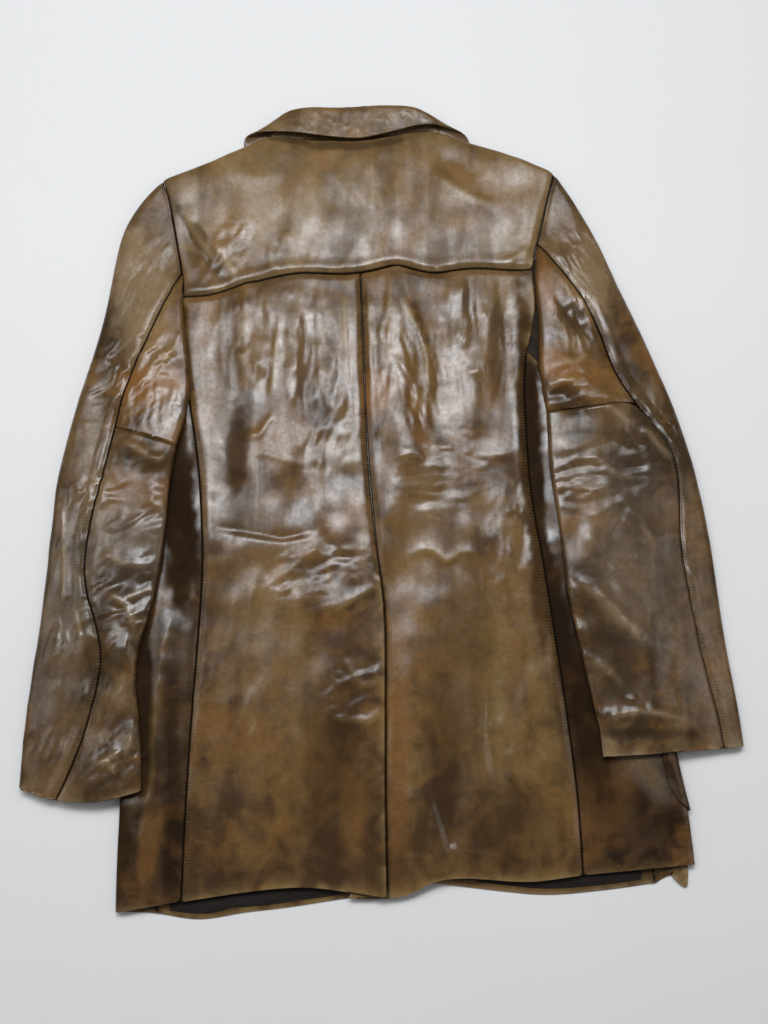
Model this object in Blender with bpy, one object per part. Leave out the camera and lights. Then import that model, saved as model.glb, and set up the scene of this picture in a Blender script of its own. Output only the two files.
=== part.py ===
"""A worn leather car coat, laid face down on a surface with its back up.

The coat is closed in front and its sleeves lie over its sides. Every panel is a leather wall: a flat
blank is cut, given its thickness, and laid on the form of the coat. Plans are in millimetres, with X
to the right as one looks down on the back and Y from the hem to the collar, and Z is up from the
surface. `place` turns them into metres about the middle of the coat.
"""

from typing import NamedTuple

import bmesh
import bpy
import numpy as np

MM = 0.001
MIDDLE = (1.0, 441.0)  # the middle of the coat in the plan

LEATHER = 1.6
LINING = 1.2
SEAM = 0.3
HALF_SEAM = SEAM / 2
ARMHOLE_GAP = 0.6
STEP = 1e-4  # part of a piece's side over which its slope is taken

# Plan lines of the body: (y, x) where the line runs up the coat, (x, y) where it runs across
LEFT_FOLD = ((-5, -266), (56, -267), (108, -266), (300, -271), (494, -276))
RIGHT_FOLD = ((45, 316.5), (76, 314), (105, 311), (160, 301), (330, 271), (506, 240))
LEFT_PRINCESS = (
    (16, -200), (86, -199), (175, -196), (278, -191), (362, -188),
    (427, -192), (481, -198), (526, -206), (611, -219), (656, -219),
)
RIGHT_PRINCESS = (
    (40, 202), (116, 199), (196, 191), (278, 181), (362, 170),
    (438, 159), (494, 156), (594, 158), (604, 160), (626, 167.5), (648, 169), (687, 166),
)
CENTRE_BACK = (
    (18, 6), (116, 4), (216, 4), (320, 2), (373, -5),
    (427, -11), (481, -15), (537, -18), (594, -20), (690, -24), (800, -28),
)
YOKE_SEAM = (
    (-219, 656), (-185, 657), (-156, 670), (-126, 675), (-106, 681), (-28, 682), (-14, 685),
    (0, 688), (13, 693), (23, 693), (40, 685), (67, 682), (86, 687), (111, 689), (142, 686), (166, 687),
)
HEM_LEFT = ((-266, 6), (-240, 8), (-199, 15), (-161, 21), (-118, 27), (-72, 30), (-26, 24), (6, 19))
HEM_RIGHT = (
    (-40, 19), (6, 19), (20, 20), (31, 23), (51, 36), (78, 39), (114, 37),
    (146, 35), (202, 42), (234, 45), (280, 49), (316, 52),
)
FRONT_HEM_LEFT = ((-225, 5), (-205, 1), (-178, -2), (-148, 4), (-102, 9), (-26, 20), (30, 26))
FRONT_HEM_RIGHT = ((-30, 26), (51, 36), (96, 30), (132, 26), (163, 23), (209, 26), (247, 30), (275, 34))
FRONT_SIDE_LEFT = ((5, -225), (300, -229), (530, -236), (590, -223), (656, -218))
FRONT_SIDE_RIGHT = (
    (34, 275), (300, 236), (500, 204), (545, 186), (594, 158), (604, 160), (626, 167), (648, 168), (687, 165),
)
SHOULDER_LEFT = ((-247, 796), (-216, 809), (-194, 818), (-172, 828), (-150, 839), (-132, 850))
SHOULDER_RIGHT = ((73, 852), (90, 844), (112, 838), (134, 831), (172, 816), (194, 805))
NECKLINE = (
    (-132, 850), (-116, 849), (-85, 846), (-53, 844), (-26, 844),
    (-2, 848), (30, 855), (57, 856), (73, 852),
)
TOP_EDGE = SHOULDER_LEFT + NECKLINE[1:-1] + SHOULDER_RIGHT
TOP_CORNERS = (len(SHOULDER_LEFT) - 1, len(SHOULDER_LEFT) + len(NECKLINE) - 2)
FRONT_NECK_LEFT = ((-128, 841), (-112, 825), (-68, 790), (-40, 777), (-8, 775))
FRONT_NECK_RIGHT = ((-48, 776), (-16, 777), (12, 790), (56, 824), (71, 841))
FRONT_TOP = 769  # where the fronts' edges begin to turn at the neckline
ARMHOLE_SLANT = ((-0.36, 0.93), (0.24, 0.97))  # way up the left and right armholes at the shoulder
NECK_SHARES = (5 / 18, 14 / 18)  # shares across the yoke at its neck corners
YOKE_ROWS = 8
YOKE_TURNED = 3 / YOKE_ROWS  # share of its rows that turn down at its upper edge
FRONT_ROWS = 22
FRONT_TURNED = 2 / FRONT_ROWS
SIDE_SEAM_TOP = 0.78  # share up a front at the foot of its armhole
SIDE_COLUMNS = 10
SIDE_STOPS = (0.4, 0.8)  # shares round a side panel where its fold begins and ends
SIDE_FOLD_IN = 6.0  # how far in from the side fold the coat's thickness is taken
SHOULDER_TURN = 7  # how far in from the shoulders' edge the leather begins to turn
TURN_OF_NECK = 9

# The back vent
VENT_TOP = 335
UNDERLAP = 38
UNDERLAP_DROP = 2.8

# Sleeves: where stations across the sleeve end, at the armhole and inner fold, and at the outer fold
LEFT_IN = (
    (-239, 775), (-232, 742), (-226, 710), (-220, 680), (-216, 630), (-208, 575), (-206, 530), (-218, 484),
    (-225, 430), (-226, 400), (-232, 345), (-239, 305), (-250, 270), (-251, 222), (-244, 176), (-242, 125),
)
LEFT_OUT = (
    (-247, 796), (-274, 765), (-290, 732), (-297, 692), (-305, 636), (-316, 588), (-326, 552), (-334, 520),
    (-348, 450), (-350, 410), (-354, 345), (-358, 290), (-363, 240), (-367, 195), (-369, 160), (-370, 128),
)
RIGHT_IN = (
    (188, 781), (183, 760), (178, 740), (172, 716), (167, 672), (171, 625), (169, 572), (176, 520),
    (177, 475), (182, 425), (189, 378), (193, 325), (204, 272), (215, 215), (222, 185), (224, 158),
)
RIGHT_OUT = (
    (194, 805), (209, 782), (226, 752), (243, 717), (262, 668), (281, 624), (300, 575), (315, 536),
    (330, 485), (341, 433), (349, 380), (354, 325), (359, 275), (366, 225), (370, 195), (372, 169),
)
SPLIT = 3  # station where the sleeve leaves the armhole and becomes a tube
REST = 3.42  # station from which the tube lies over the body
ELBOW = 7
CUFF = 15
# (station, share of the width from the inner fold) of the rear seam
LEFT_REAR = (
    (3, 0.03), (4, 0.30), (5, 0.51), (6, 0.59), (7, 0.58), (8, 0.59), (9, 0.64), (10, 0.65),
    (11, 0.48), (12, 0.32), (13, 0.37), (14, 0.52), (15, 0.68),
)
RIGHT_REAR = (
    (3, 0.04), (4, 0.42), (5, 0.55), (6, 0.60), (7, 0.70), (8, 0.86), (9, 0.84), (10, 0.78),
    (11, 0.79), (12, 0.80), (13, 0.82), (14, 0.83), (15, 0.84),
)
UNDER_SEAM = ((3, 0.04), (4, 0.30), (6, 0.42), (15, 0.40))
# (station, height) of the sleeve's top at its inner and outer folds
TOP_INSIDE = ((0, 15), (2.6, 12.8), (3, 13.2), (3.42, 19), (5, 24), (6, 26), (9, 26), (12, 24), (15, 21))
TOP_OUTSIDE = ((0, 15), (3, 14), (6, 16), (9, 15), (15, 12))
SLEEVE_CROWN = 3
OUTER_FOLD = 7.0  # half the sleeve's thickness, about, at its outer fold
INNER_FOLD = 3.5
OVER_BODY = 1.4
SLIDE_OFF = 30  # way over which a sleeve comes down from the body to the surface
LEFT_CUFF_BOW = 14
RIGHT_CUFF_BOW = 1
TOP_STATIONS = (0.02, 0.75, 1.5, 2.25, SPLIT - 0.04, *(SPLIT + 0.5 * k for k in range(25)))
TOP_COLUMNS = 12
TOP_STOPS = (4 / 12, 7 / 12)  # shares round the top sleeve where its outer fold begins and ends
UNDER_COLUMNS = 11
UNDER_STOPS = (4 / 11, 8 / 11)  # shares round the under sleeve where its inner fold begins and ends
ELBOW_GAP = 0.003
SEAM_SHARE = 0.002  # half a seam as a share of the sleeve's flat
UNDER_ARM_SHARE = 0.005


class Fold(NamedTuple):
    """A soft ridge in the leather, or a trough where its height is below zero."""

    line: tuple
    reach: float
    height: float


BODY_FOLDS = (
    Fold(((11, 667), (16, 592), (22, 502), (11, 404)), 13, 6),
    Fold(((4, 530), (23, 502), (46, 469)), 18, 4),
    Fold(((-106, 649), (-102, 558), (-105, 458)), 13, 5),
    Fold(((-147, 649), (-153, 547), (-159, 447)), 13, 4),
    Fold(((75, 660), (83, 603), (95, 513)), 15, 4.5),
    Fold(((73, 458), (93, 361), (102, 277)), 16, 3.5),
    Fold(((-215, 760), (-196, 726), (-161, 690)), 15, -6),
    Fold(((-184, 714), (-158, 690)), 12, 4),
    Fold(((126, 782), (160, 798)), 13, -4),
    Fold(((-222, 319), (-225, 175), (-230, 38)), 12, 4),
    Fold(((59, 126), (66, 77), (70, 46)), 11, 5),
    Fold(((-85, 316), (-38, 326)), 13, 3.5),
    Fold(((34, 310), (42, 175), (44, 40)), 14, 4.5),
    Fold(((-202, 393), (-133, 380), (-54, 377)), 13, 3),
)
SLEEVE_FOLDS = (
    Fold(((-281, 484), (-258, 478), (-233, 458)), 12, 6),
    Fold(((-327, 509), (-288, 505)), 11, -4),
    Fold(((-347, 256), (-291, 277), (-254, 264)), 14, 5),
    Fold(((-288, 130), (-267, 155), (-250, 170)), 12, 5),
    Fold(((-320, 180), (-290, 190)), 13, -3),
    Fold(((182, 560), (208, 546), (248, 540)), 12, 7),
    Fold(((195, 512), (232, 514)), 11, -5),
    Fold(((240, 524), (277, 506), (309, 470)), 12, 7),
    Fold(((199, 340), (239, 306), (282, 267)), 15, 6),
    Fold(((236, 196), (264, 199), (306, 190)), 12, 4),
    Fold(((245, 640), (280, 590)), 14, 4),
)

# Collar: seam, roll and fall's edge, each (x, y, z), and how far the wall has turned round the neck
COLLAR_STATIONS = (
    ((-31, 776, 5.5), (-35, 797, 3.1), (-82, 742, 0.8), 180),
    ((-68, 791, 5.5), (-74, 816, 3.1), (-122, 776, 0.8), 180),
    ((-107, 827, 5.6), (-106, 850, 3.2), (-148, 812, 0.8), 178),
    ((-118, 841.5, 5.9), (-111, 862, 3.6), (-155, 832, 0.8), 160),
    ((-125, 851.5, 5.8), (-114, 869, 7.0), (-156, 848, 5.0), 105),
    ((-125, 851.5, 5.6), (-112, 873, 12.0), (-142, 852, 13.2), 45),
    ((-116, 850.2, 5.7), (-100, 878, 14.5), (-122, 852, 15.5), 12),
    ((-85, 846.6, 6.2), (-82, 882, 15.5), (-90, 849, 16.5), 0),
    ((-53, 844.6, 6.2), (-50, 881, 16.0), (-57, 845, 17.0), 0),
    ((-26, 844.6, 6.2), (-22, 882, 16.5), (-24, 843, 17.0), 0),
    ((-2, 848.6, 6.2), (10, 883, 16.0), (14, 852, 16.5), 0),
    ((30, 856.2, 5.7), (32, 882, 15.5), (42, 860, 15.5), -6),
    ((56, 859.3, 5.1), (50, 875, 13.5), (68, 860, 14.0), -25),
    ((66, 857.3, 5.1), (60, 870, 7.4), (95, 853, 6.0), -105),
    ((60, 843.5, 5.9), (53, 863, 3.8), (101, 836, 0.8), -160),
    ((52, 828, 5.6), (50, 852, 3.2), (98, 812, 0.8), -178),
    ((12, 791, 7.4), (18, 816, 3.8), (68, 776, 0.8), -180),
    ((-25, 776, 8.1), (-21, 797, 4.2), (26, 742, 0.8), -180),
)
BACK_ROLL = 3.0
FRONT_ROLL = 2.3
COLLAR_ENDS_APART = 3

# Raised parts of the fronts: (left, right, low, high) of what lies under them, and its height
UNDER_COLLAR = 2.5
FALL_LINE = ((-190, 850), (-148, 812), (-82, 742), (26, 742), (98, 812), (140, 850))
BUTTON_RADIUS = 10
BUTTON_THICKNESS = 3.0
BUTTON_HEIGHTS = (390, 500, 610)
BUTTON_STRIP = (46, 360, 640)  # half its width, and its ends
POCKET_WALL = 1.5
POCKET_STAND = POCKET_WALL + SEAM
ROUND_POCKET = 0.7  # how much further it stands off round the side fold
LEFT_POCKET = (-236, -84, 108, 262)
RIGHT_POCKET = (148, 330, 104, 262)
POCKET_ROUND = 0.6  # share of the blank that comes round the fold
SLEEVE_OVER_POCKET = (284, 330, 90, 262)
# (y, how far the pocket reaches past the middle of the side fold), a row of its blank at each
POCKET_EDGE = (
    (104, -3), (105, 0), (107, 3.5), (110, 7), (114, 10.5), (120, 14), (130, 17),
    (145, 18), (180, 17), (220, 16.5), (262, 16),
)
FADE = 28  # way over which a raised part comes down
FRONT_LAP = 20
LAP_RISE = LEATHER + 1.6
LINING_HEIGHT = 42
LINING_GAP = 1.0
CORNER_TURN = ((289, 44), (303, 30), (308, 31), (309.5, 52), (290, 60))

OLIVE_TAN = (0.125, 0.082, 0.047)
BROWN = (0.095, 0.052, 0.026)
DARK_BROWN = (0.05, 0.027, 0.015)
GREYED_BROWN = (0.115, 0.075, 0.048)
RUST = (0.14, 0.062, 0.024)
BLACK_LINING = (0.012, 0.009, 0.008)
HORN = (0.03, 0.015, 0.009)


def smooth(share):
    """A soft step from 0 to 1."""
    share = np.clip(share, 0, 1)
    return share * share * (3 - 2 * share)


def mix(low, high, share):
    """The value at this share of the way from low to high."""
    return low + (high - low) * share


def along(nodes, place):
    """The value at a place on a smooth curve through (place, value) nodes."""
    nodes = np.asarray(nodes, float)
    places, values = nodes[:, 0], nodes[:, 1]
    place = np.clip(place, places[0], places[-1])
    slopes = np.gradient(values, places)
    i = np.clip(np.searchsorted(places, place) - 1, 0, len(places) - 2)
    span = places[i + 1] - places[i]
    f = (place - places[i]) / span
    start = (1 + 2 * f) * (1 - f) ** 2 * values[i] + f * (1 - f) ** 2 * span * slopes[i]
    return start + f * f * (3 - 2 * f) * values[i + 1] + f * f * (f - 1) * span * slopes[i + 1]


def through(points, place):
    """The point at a place, counted in points, on a smooth curve through the given ones."""
    points = np.asarray(points, float)
    last = len(points) - 1
    place = np.clip(place, 0, last)
    i = np.minimum(place.astype(int), last - 1)
    f = (place - i)[..., None]
    ends = np.vstack([2 * points[0] - points[1], points, 2 * points[-1] - points[-2]])
    before, here, there, after = (ends[i + k] for k in range(4))
    bend = (2 * before - 5 * here + 4 * there - after) * f * f
    twist = (3 * here - before - 3 * there + after) * f**3
    return 0.5 * (2 * here + (there - before) * f + bend + twist)


def ridge(folds, x, y):
    """Height that the folds add at a place in the plan."""
    height = np.zeros(np.shape(x))
    for fold in folds:
        line = np.asarray(fold.line, float)
        nearest = np.full(np.shape(x), 1e9)
        for (ax, ay), (bx, by) in zip(line[:-1], line[1:]):
            run = (bx - ax) ** 2 + (by - ay) ** 2
            t = np.clip(((x - ax) * (bx - ax) + (y - ay) * (by - ay)) / run, 0, 1)
            nearest = np.minimum(nearest, np.hypot(x - ax - t * (bx - ax), y - ay - t * (by - ay)))
        height = height + fold.height * np.exp(-((nearest / fold.reach) ** 2))
    return height


def body_sides(y):
    """The body's left and right edges at a height up the coat: side folds, then armholes."""
    left = np.asarray(LEFT_IN[:4], float)[::-1]
    right = np.asarray(RIGHT_IN[:4], float)[::-1]
    left_edge = list(LEFT_FOLD) + [(611, -219)] + [(float(b), float(a)) for a, b in left] + [(796, -247)]
    right_edge = list(RIGHT_FOLD) + list(RIGHT_PRINCESS[-5:-1])
    right_edge += [(float(b), float(a)) for a, b in right] + [(805, 194)]
    left_edge, right_edge = np.array(left_edge), np.array(right_edge)
    return (
        np.interp(y, left_edge[:, 0], left_edge[:, 1]),
        np.interp(y, right_edge[:, 0], right_edge[:, 1]),
    )


def back_height(x, y):
    """Height of the back's outer face over the surface."""
    left, right = body_sides(y)
    share = np.clip((x - left) / (right - left), 0, 1)
    side = 10.8 + 1.4 * smooth(y / 650) + 2.8 * smooth((y - 650) / 150) - 2 * smooth((y - 800) / 70)
    crown = (1.5 + 2.5 * smooth(y / 300)) * smooth((880 - y) / 120) * (1 - (2 * share - 1) ** 2)
    inside = smooth(np.minimum(x - left, right - x) / 22)
    return side + crown + ridge(BODY_FOLDS, x, y) * inside


def box_rise(x, y, box, height):
    """Height of a flat raised box in the plan, with soft sides outside it."""
    left, right, low, high = box
    outside = np.maximum(np.maximum(left - x, x - right), np.maximum(low - y, y - high))
    return height * smooth(2 - outside / FADE)


def front_height(x, y):
    """Height of the fronts' outer face over the surface: none, but where something lies under it."""
    fall = np.interp(x, *np.array(FALL_LINE, float).T)
    rise = UNDER_COLLAR * smooth((y - fall + 2 * FADE) / FADE)
    for box in (LEFT_POCKET, RIGHT_POCKET):
        rise = np.maximum(rise, box_rise(x, y, box, POCKET_STAND))
    half, low, high = BUTTON_STRIP
    beside = x - along(CENTRE_BACK, y)
    return np.maximum(rise, box_rise(beside, y, (-half, half, low, high), BUTTON_THICKNESS + SEAM))


def inside_face(side, x, y):
    """Height of a front's inner face; the right front's edge lies on the left one."""
    lap = smooth((along(CENTRE_BACK, y) + FRONT_LAP + 2 * FADE - x) / FADE) if side > 0 else 0.0
    return front_height(x, y) + LAP_RISE * lap + LEATHER


def stack(x, y, z):
    """Points from their three coordinates."""
    return np.stack(np.broadcast_arrays(x, y, z), axis=-1).astype(float)


def coons(low, high, left, right, u, v):
    """The plan of a panel between its four edges, each a function of its share."""
    flat = mix(low(u), high(u), v[..., None]) + mix(left(v), right(v), u[..., None])
    zero, one = np.zeros_like(u), np.ones_like(u)
    below = mix(low(zero), low(one), u[..., None])
    above = mix(high(zero), high(one), u[..., None])
    return flat - mix(below, above, v[..., None])


def across(nodes, x0, x1):
    """An edge that runs across, between two x, as a function of its share."""
    return lambda u: np.stack([mix(x0, x1, u), along(nodes, mix(x0, x1, u))], axis=-1)


def upward(nodes, y0, y1):
    """An edge that runs up, between two y, as a function of its share."""
    return lambda v: np.stack([along(nodes, mix(y0, y1, v)), mix(y0, y1, v)], axis=-1)


def back_left_form(u, v):
    """Left half of the back under the yoke, over the vent's underlap."""
    plan = coons(
        across(HEM_LEFT, -200 + HALF_SEAM, 6 - HALF_SEAM),
        across([(x, y - HALF_SEAM) for x, y in YOKE_SEAM], -219 + HALF_SEAM, -24 - HALF_SEAM),
        upward([(y, x + HALF_SEAM) for y, x in LEFT_PRINCESS], 16, 656),
        upward([(y, x - HALF_SEAM) for y, x in CENTRE_BACK], 19, 682 - HALF_SEAM),
        u, v,
    )
    x, y = plan[..., 0], plan[..., 1]
    return stack(x, y, back_height(x, y))


def vent_drop(x, y):
    """How far the right side of the vent lies under the left one."""
    seam = along(CENTRE_BACK, y)
    return UNDERLAP_DROP * smooth((VENT_TOP + 32 - y) / 28) * smooth((seam + 26 - x) / 24)


def back_right_form(u, v):
    """Right half of the back under the yoke, whose edge goes under the left half at the vent."""
    plan = coons(
        across(HEM_RIGHT, 6 + HALF_SEAM, 202 - HALF_SEAM),
        across([(x, y - HALF_SEAM) for x, y in YOKE_SEAM], -24 + HALF_SEAM, 166 - HALF_SEAM),
        upward([(y, x + HALF_SEAM) for y, x in CENTRE_BACK], 19, 682 - HALF_SEAM),
        upward([(y, x - HALF_SEAM) for y, x in RIGHT_PRINCESS], 42, 687 - HALF_SEAM),
        u, v,
    )
    x, y = plan[..., 0], plan[..., 1]
    return stack(x, y, back_height(x, y) - vent_drop(x, y))


def underlap_form(u, v):
    """The vent's underlap, on from the right half's edge under the left half."""
    y = mix(19, VENT_TOP - 2, v)
    seam = along(CENTRE_BACK, y) - HALF_SEAM
    x = mix(seam - UNDERLAP, seam, u)
    return stack(x, y - 22 * smooth((v - 0.8) / 0.2) * (1 - u), back_height(x, y) - UNDERLAP_DROP)


def way_up(u):
    """Unit way up the coat at a share across it, from the left armhole's to the right one's."""
    left, right = np.array(ARMHOLE_SLANT)
    way = mix(left, right, np.asarray(u)[..., None])
    return way / np.linalg.norm(way, axis=-1, keepdims=True)


def armhole_edge(side, foot):
    """An armhole's edge up a panel as a function of its share, from its foot to the shoulder's turn."""
    left = side < 0
    corner = SHOULDER_LEFT[0] if left else SHOULDER_RIGHT[-1]
    turn = np.array(corner) - way_up(0.0 if left else 1.0) * SHOULDER_TURN
    stations = (LEFT_IN if left else RIGHT_IN)[SPLIT::-1]
    line = [foot, *((x - side * ARMHOLE_GAP, y) for x, y in (*stations, turn))]
    return lambda s: through(line, s * (len(line) - 1))


def top_edge(u):
    """The back's upper edge: left shoulder, neckline and right shoulder."""
    places = np.interp(u, (0, *NECK_SHARES, 1), (0, *TOP_CORNERS, len(TOP_EDGE) - 1))
    return through(TOP_EDGE, places)


def in_neck(u):
    """One in the neckline, and zero on the shoulders."""
    left, right = NECK_SHARES
    return smooth((u - left) / 0.05) * smooth((right - u) / 0.05)


def yoke_turns(u):
    """How far in from its upper edge the yoke begins to turn down."""
    return mix(SHOULDER_TURN, TURN_OF_NECK, in_neck(u))


def yoke_form(u, v):
    """The yoke, from its seam to the shoulders and the neckline, where it turns half way down."""
    seam = [(x, y + HALF_SEAM) for x, y in YOKE_SEAM]
    left_foot, right_foot = (-219 + ARMHOLE_GAP, 656 + HALF_SEAM), (166 - ARMHOLE_GAP, 687 + HALF_SEAM)

    def low(s):
        x = np.interp(s, (0, 0.5, 1), (left_foot[0], -24, right_foot[0]))
        return np.stack([x, along(seam, x)], axis=-1)

    def inset_top(s):
        return top_edge(s) - way_up(s) * yoke_turns(s)[..., None]

    flat_share = np.clip(v / (1 - YOKE_TURNED), 0, 1)
    angle = np.clip((v - 1 + YOKE_TURNED) / YOKE_TURNED, 0, 1) * np.pi / 2
    sides = (armhole_edge(-1, left_foot), armhole_edge(1, right_foot))
    plan = coons(low, inset_top, *sides, u, flat_share)
    plan = plan + way_up(u) * (yoke_turns(u) * np.sin(angle))[..., None]
    x, y = plan[..., 0], plan[..., 1]
    height = back_height(x, y)
    return stack(x, y, mix(height / 2 + HALF_SEAM, height, np.cos(angle)))


def front_top_left(u):
    """Upper edge of the left front: its shoulder, then its neckline down to the centre."""
    line = SHOULDER_LEFT + FRONT_NECK_LEFT
    places = np.interp(u, (0, 0.5, 1), (0, len(SHOULDER_LEFT) - 1, len(line) - 1))
    return through(line, places)


def front_top_right(u):
    """Upper edge of the right front, from the centre up its neckline, then its shoulder."""
    line = FRONT_NECK_RIGHT + SHOULDER_RIGHT
    places = np.interp(u, (0, 0.5, 1), (0, len(FRONT_NECK_RIGHT), len(line) - 1))
    return through(line, places)


def front_form(side):
    """Form of a front, seen through the coat: side is -1 for the left one and 1 for the right."""
    left = side < 0
    top = front_top_left if left else front_top_right
    nodes = FRONT_SIDE_LEFT if left else FRONT_SIDE_RIGHT
    (foot_y, _), (top_y, top_x) = nodes[0], nodes[-1]
    side_seam = [(y, x - side * HALF_SEAM) for y, x in nodes]
    armhole = armhole_edge(side, (top_x - side * 3 * ARMHOLE_GAP, top_y))
    end = 0.0 if left else 1.0

    def on_shoulder(s):
        return smooth((0.55 - s) / 0.1) if left else smooth((s - 0.45) / 0.1)

    def inset_top(s):
        return top(s) - way_up(end) * SHOULDER_TURN

    def outer(s):
        y = mix(foot_y, top_y, np.clip(s / SIDE_SEAM_TOP, 0, 1))
        below = np.stack([along(side_seam, y), y], axis=-1)
        above = armhole(np.clip((s - SIDE_SEAM_TOP) / (1 - SIDE_SEAM_TOP), 0, 1))
        return np.where((s < SIDE_SEAM_TOP)[..., None], below, above)

    lap = -side * FRONT_LAP
    inner = upward([(y, x + lap) for y, x in CENTRE_BACK], 26, FRONT_TOP)
    if left:
        low = across(FRONT_HEM_LEFT, -225 + HALF_SEAM, 6 + lap)
        edges = (outer, inner)
    else:
        low = across(FRONT_HEM_RIGHT, 6 + lap, 275 - HALF_SEAM)
        edges = (inner, outer)

    def form(u, v):
        flat_share = np.clip(v / (1 - FRONT_TURNED), 0, 1)
        angle = np.clip((v - 1 + FRONT_TURNED) / FRONT_TURNED, 0, 1) * np.pi / 2
        plan = coons(low, inset_top, *edges, u, flat_share)
        plan = plan + way_up(end) * SHOULDER_TURN * np.sin(angle)[..., None]
        x, y = plan[..., 0], plan[..., 1]
        height = inside_face(side, x, y) - LEATHER
        lift = (back_height(x, y) / 2 - HALF_SEAM - height) * on_shoulder(u)
        return stack(x, y, height + lift * (1 - np.cos(angle)))

    return form


def side_form(side):
    """Form of a side panel: from its princess seam over the side fold to the front's side seam."""
    left = side < 0
    fold = LEFT_FOLD if left else RIGHT_FOLD
    princess = LEFT_PRINCESS if left else RIGHT_PRINCESS
    under = FRONT_SIDE_LEFT if left else FRONT_SIDE_RIGHT
    princess_span = (17, 611) if left else (42, 594)
    fold_span = (6, 494) if left else (52, 506)
    under_span = (5, 530) if left else (34, 545)

    def form(u, v):
        p_y = mix(*princess_span, v)
        f_y = mix(*fold_span, v)
        q_y = mix(*under_span, v)
        p_x = along(princess, p_y) + side * HALF_SEAM
        f_x = along(fold, f_y)
        q_x = along(under, q_y) + side * HALF_SEAM
        edge_x = f_x - side * SIDE_FOLD_IN
        top, base = back_height(edge_x, f_y), front_height(edge_x, f_y)
        radius = (top - base) / 2
        start = f_x - side * radius
        over = np.clip(u / SIDE_STOPS[0], 0, 1)
        turn = np.clip((u - SIDE_STOPS[0]) / (SIDE_STOPS[1] - SIDE_STOPS[0]), 0, 1)
        below = np.clip((u - SIDE_STOPS[1]) / (1 - SIDE_STOPS[1]), 0, 1)
        x = np.where(u < SIDE_STOPS[0], mix(p_x, start, over), mix(start, q_x, below))
        y = np.where(u < SIDE_STOPS[0], mix(p_y, f_y, over), mix(f_y, q_y, below))
        z = np.where(u < SIDE_STOPS[0], back_height(x, y), front_height(x, y))
        round_x = start + side * radius * np.sin(turn * np.pi)
        round_z = base + radius + radius * np.cos(turn * np.pi)
        on_fold = (turn > 0) & (turn < 1)
        return stack(
            np.where(on_fold, round_x, x), np.where(on_fold, f_y, y), np.where(on_fold, round_z, z)
        )

    return form


def on_body(station):
    """Zero where a sleeve is sewn into its armhole and one where it is a tube over the body."""
    return smooth((station - SPLIT) / (REST - SPLIT))


def flat_share(side, station, wanted):
    """The share along a sleeve's flat at a share of the sleeve's width."""
    inner, outer = (LEFT_IN, LEFT_OUT) if side < 0 else (RIGHT_IN, RIGHT_OUT)
    width = np.linalg.norm(through(outer, station) - through(inner, station), axis=-1)
    start = INNER_FOLD * on_body(station)
    return np.clip((wanted * width - start) / (width - OUTER_FOLD - start), 0.0, 0.97)


def sleeve_form(side, ring):
    """Form of a sleeve piece. `ring` gives the station, place round the tube, and trim from its shares.

    The place runs from 0 to 1 under the sleeve from the inner fold out, to 2 round the outer fold, to 3
    over the top back to the inner fold, and to 4 round the inner fold.
    """
    inner, outer = (LEFT_IN, LEFT_OUT) if side < 0 else (RIGHT_IN, RIGHT_OUT)
    bow = LEFT_CUFF_BOW if side < 0 else RIGHT_CUFF_BOW

    def under(x, y, station):
        left, right = body_sides(y)
        outside = left - x if side < 0 else x - right
        over_pocket = box_rise(x, y, SLEEVE_OVER_POCKET, 2 * POCKET_WALL)
        over = back_height(np.clip(x, left, right), y) + OVER_BODY + over_pocket
        return over * smooth((SLIDE_OFF - outside) / SLIDE_OFF) * on_body(station)

    def form(u, v):
        station, place, trim = ring(u, v)
        start, end = through(inner, station), through(outer, station)
        width = np.linalg.norm(end - start, axis=-1)
        way = (end - start) / width[..., None]

        def plan(run):
            point = start + way * run[..., None]
            share = np.clip(run / width, 0, 1)
            drop = bow * 4 * share * (1 - share) * smooth((station - CUFF + 2) / 2)
            return point[..., 0], point[..., 1] - drop

        def over(run):
            x, y = plan(run)
            share = np.clip(run / width, 0, 1)
            level = mix(along(TOP_INSIDE, station), along(TOP_OUTSIDE, station), smooth(share))
            crown = SLEEVE_CROWN * 4 * share * (1 - share) * smooth((station - 1) / 3)
            inside = smooth(np.minimum(run, width - run) / 16)
            level = level + crown + ridge(SLEEVE_FOLDS, x, y) * inside
            return mix(back_height(x, y), level, smooth((station - 0.4) / 2.2))

        zero = np.zeros_like(width)
        out_run = width - OUTER_FOLD
        out_low = under(*plan(out_run), station)
        out_radius = (over(out_run) - out_low) / 2
        in_low = under(*plan(zero + 2.0), station)
        in_radius = (over(zero + 6.0) - in_low) / 2
        in_start = in_radius * on_body(station)
        flat_start = in_start + trim
        flat = width - out_radius - flat_start
        low_run = flat_start + flat * np.clip(place, 0, 1)
        top_run = flat_start + flat * np.clip(3 - place, 0, 1)
        out_angle = (np.clip(place, 1, 2) - 1.5) * np.pi
        in_angle = (3.5 - np.clip(place, 3, 4)) * np.pi
        places = [place <= 1, place < 2, place <= 3]
        out_x = width - out_radius + out_radius * np.cos(out_angle)
        x, y = plan(np.select(places, [low_run, out_x, top_run], in_start * (1 - np.cos(in_angle))))
        out_z = out_low + out_radius * (1 + np.sin(out_angle))
        in_z = in_low + in_radius * (1 + np.sin(in_angle))
        return stack(x, y, np.select(places, [under(x, y, station), out_z, over(top_run)], in_z))

    return form


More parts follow.
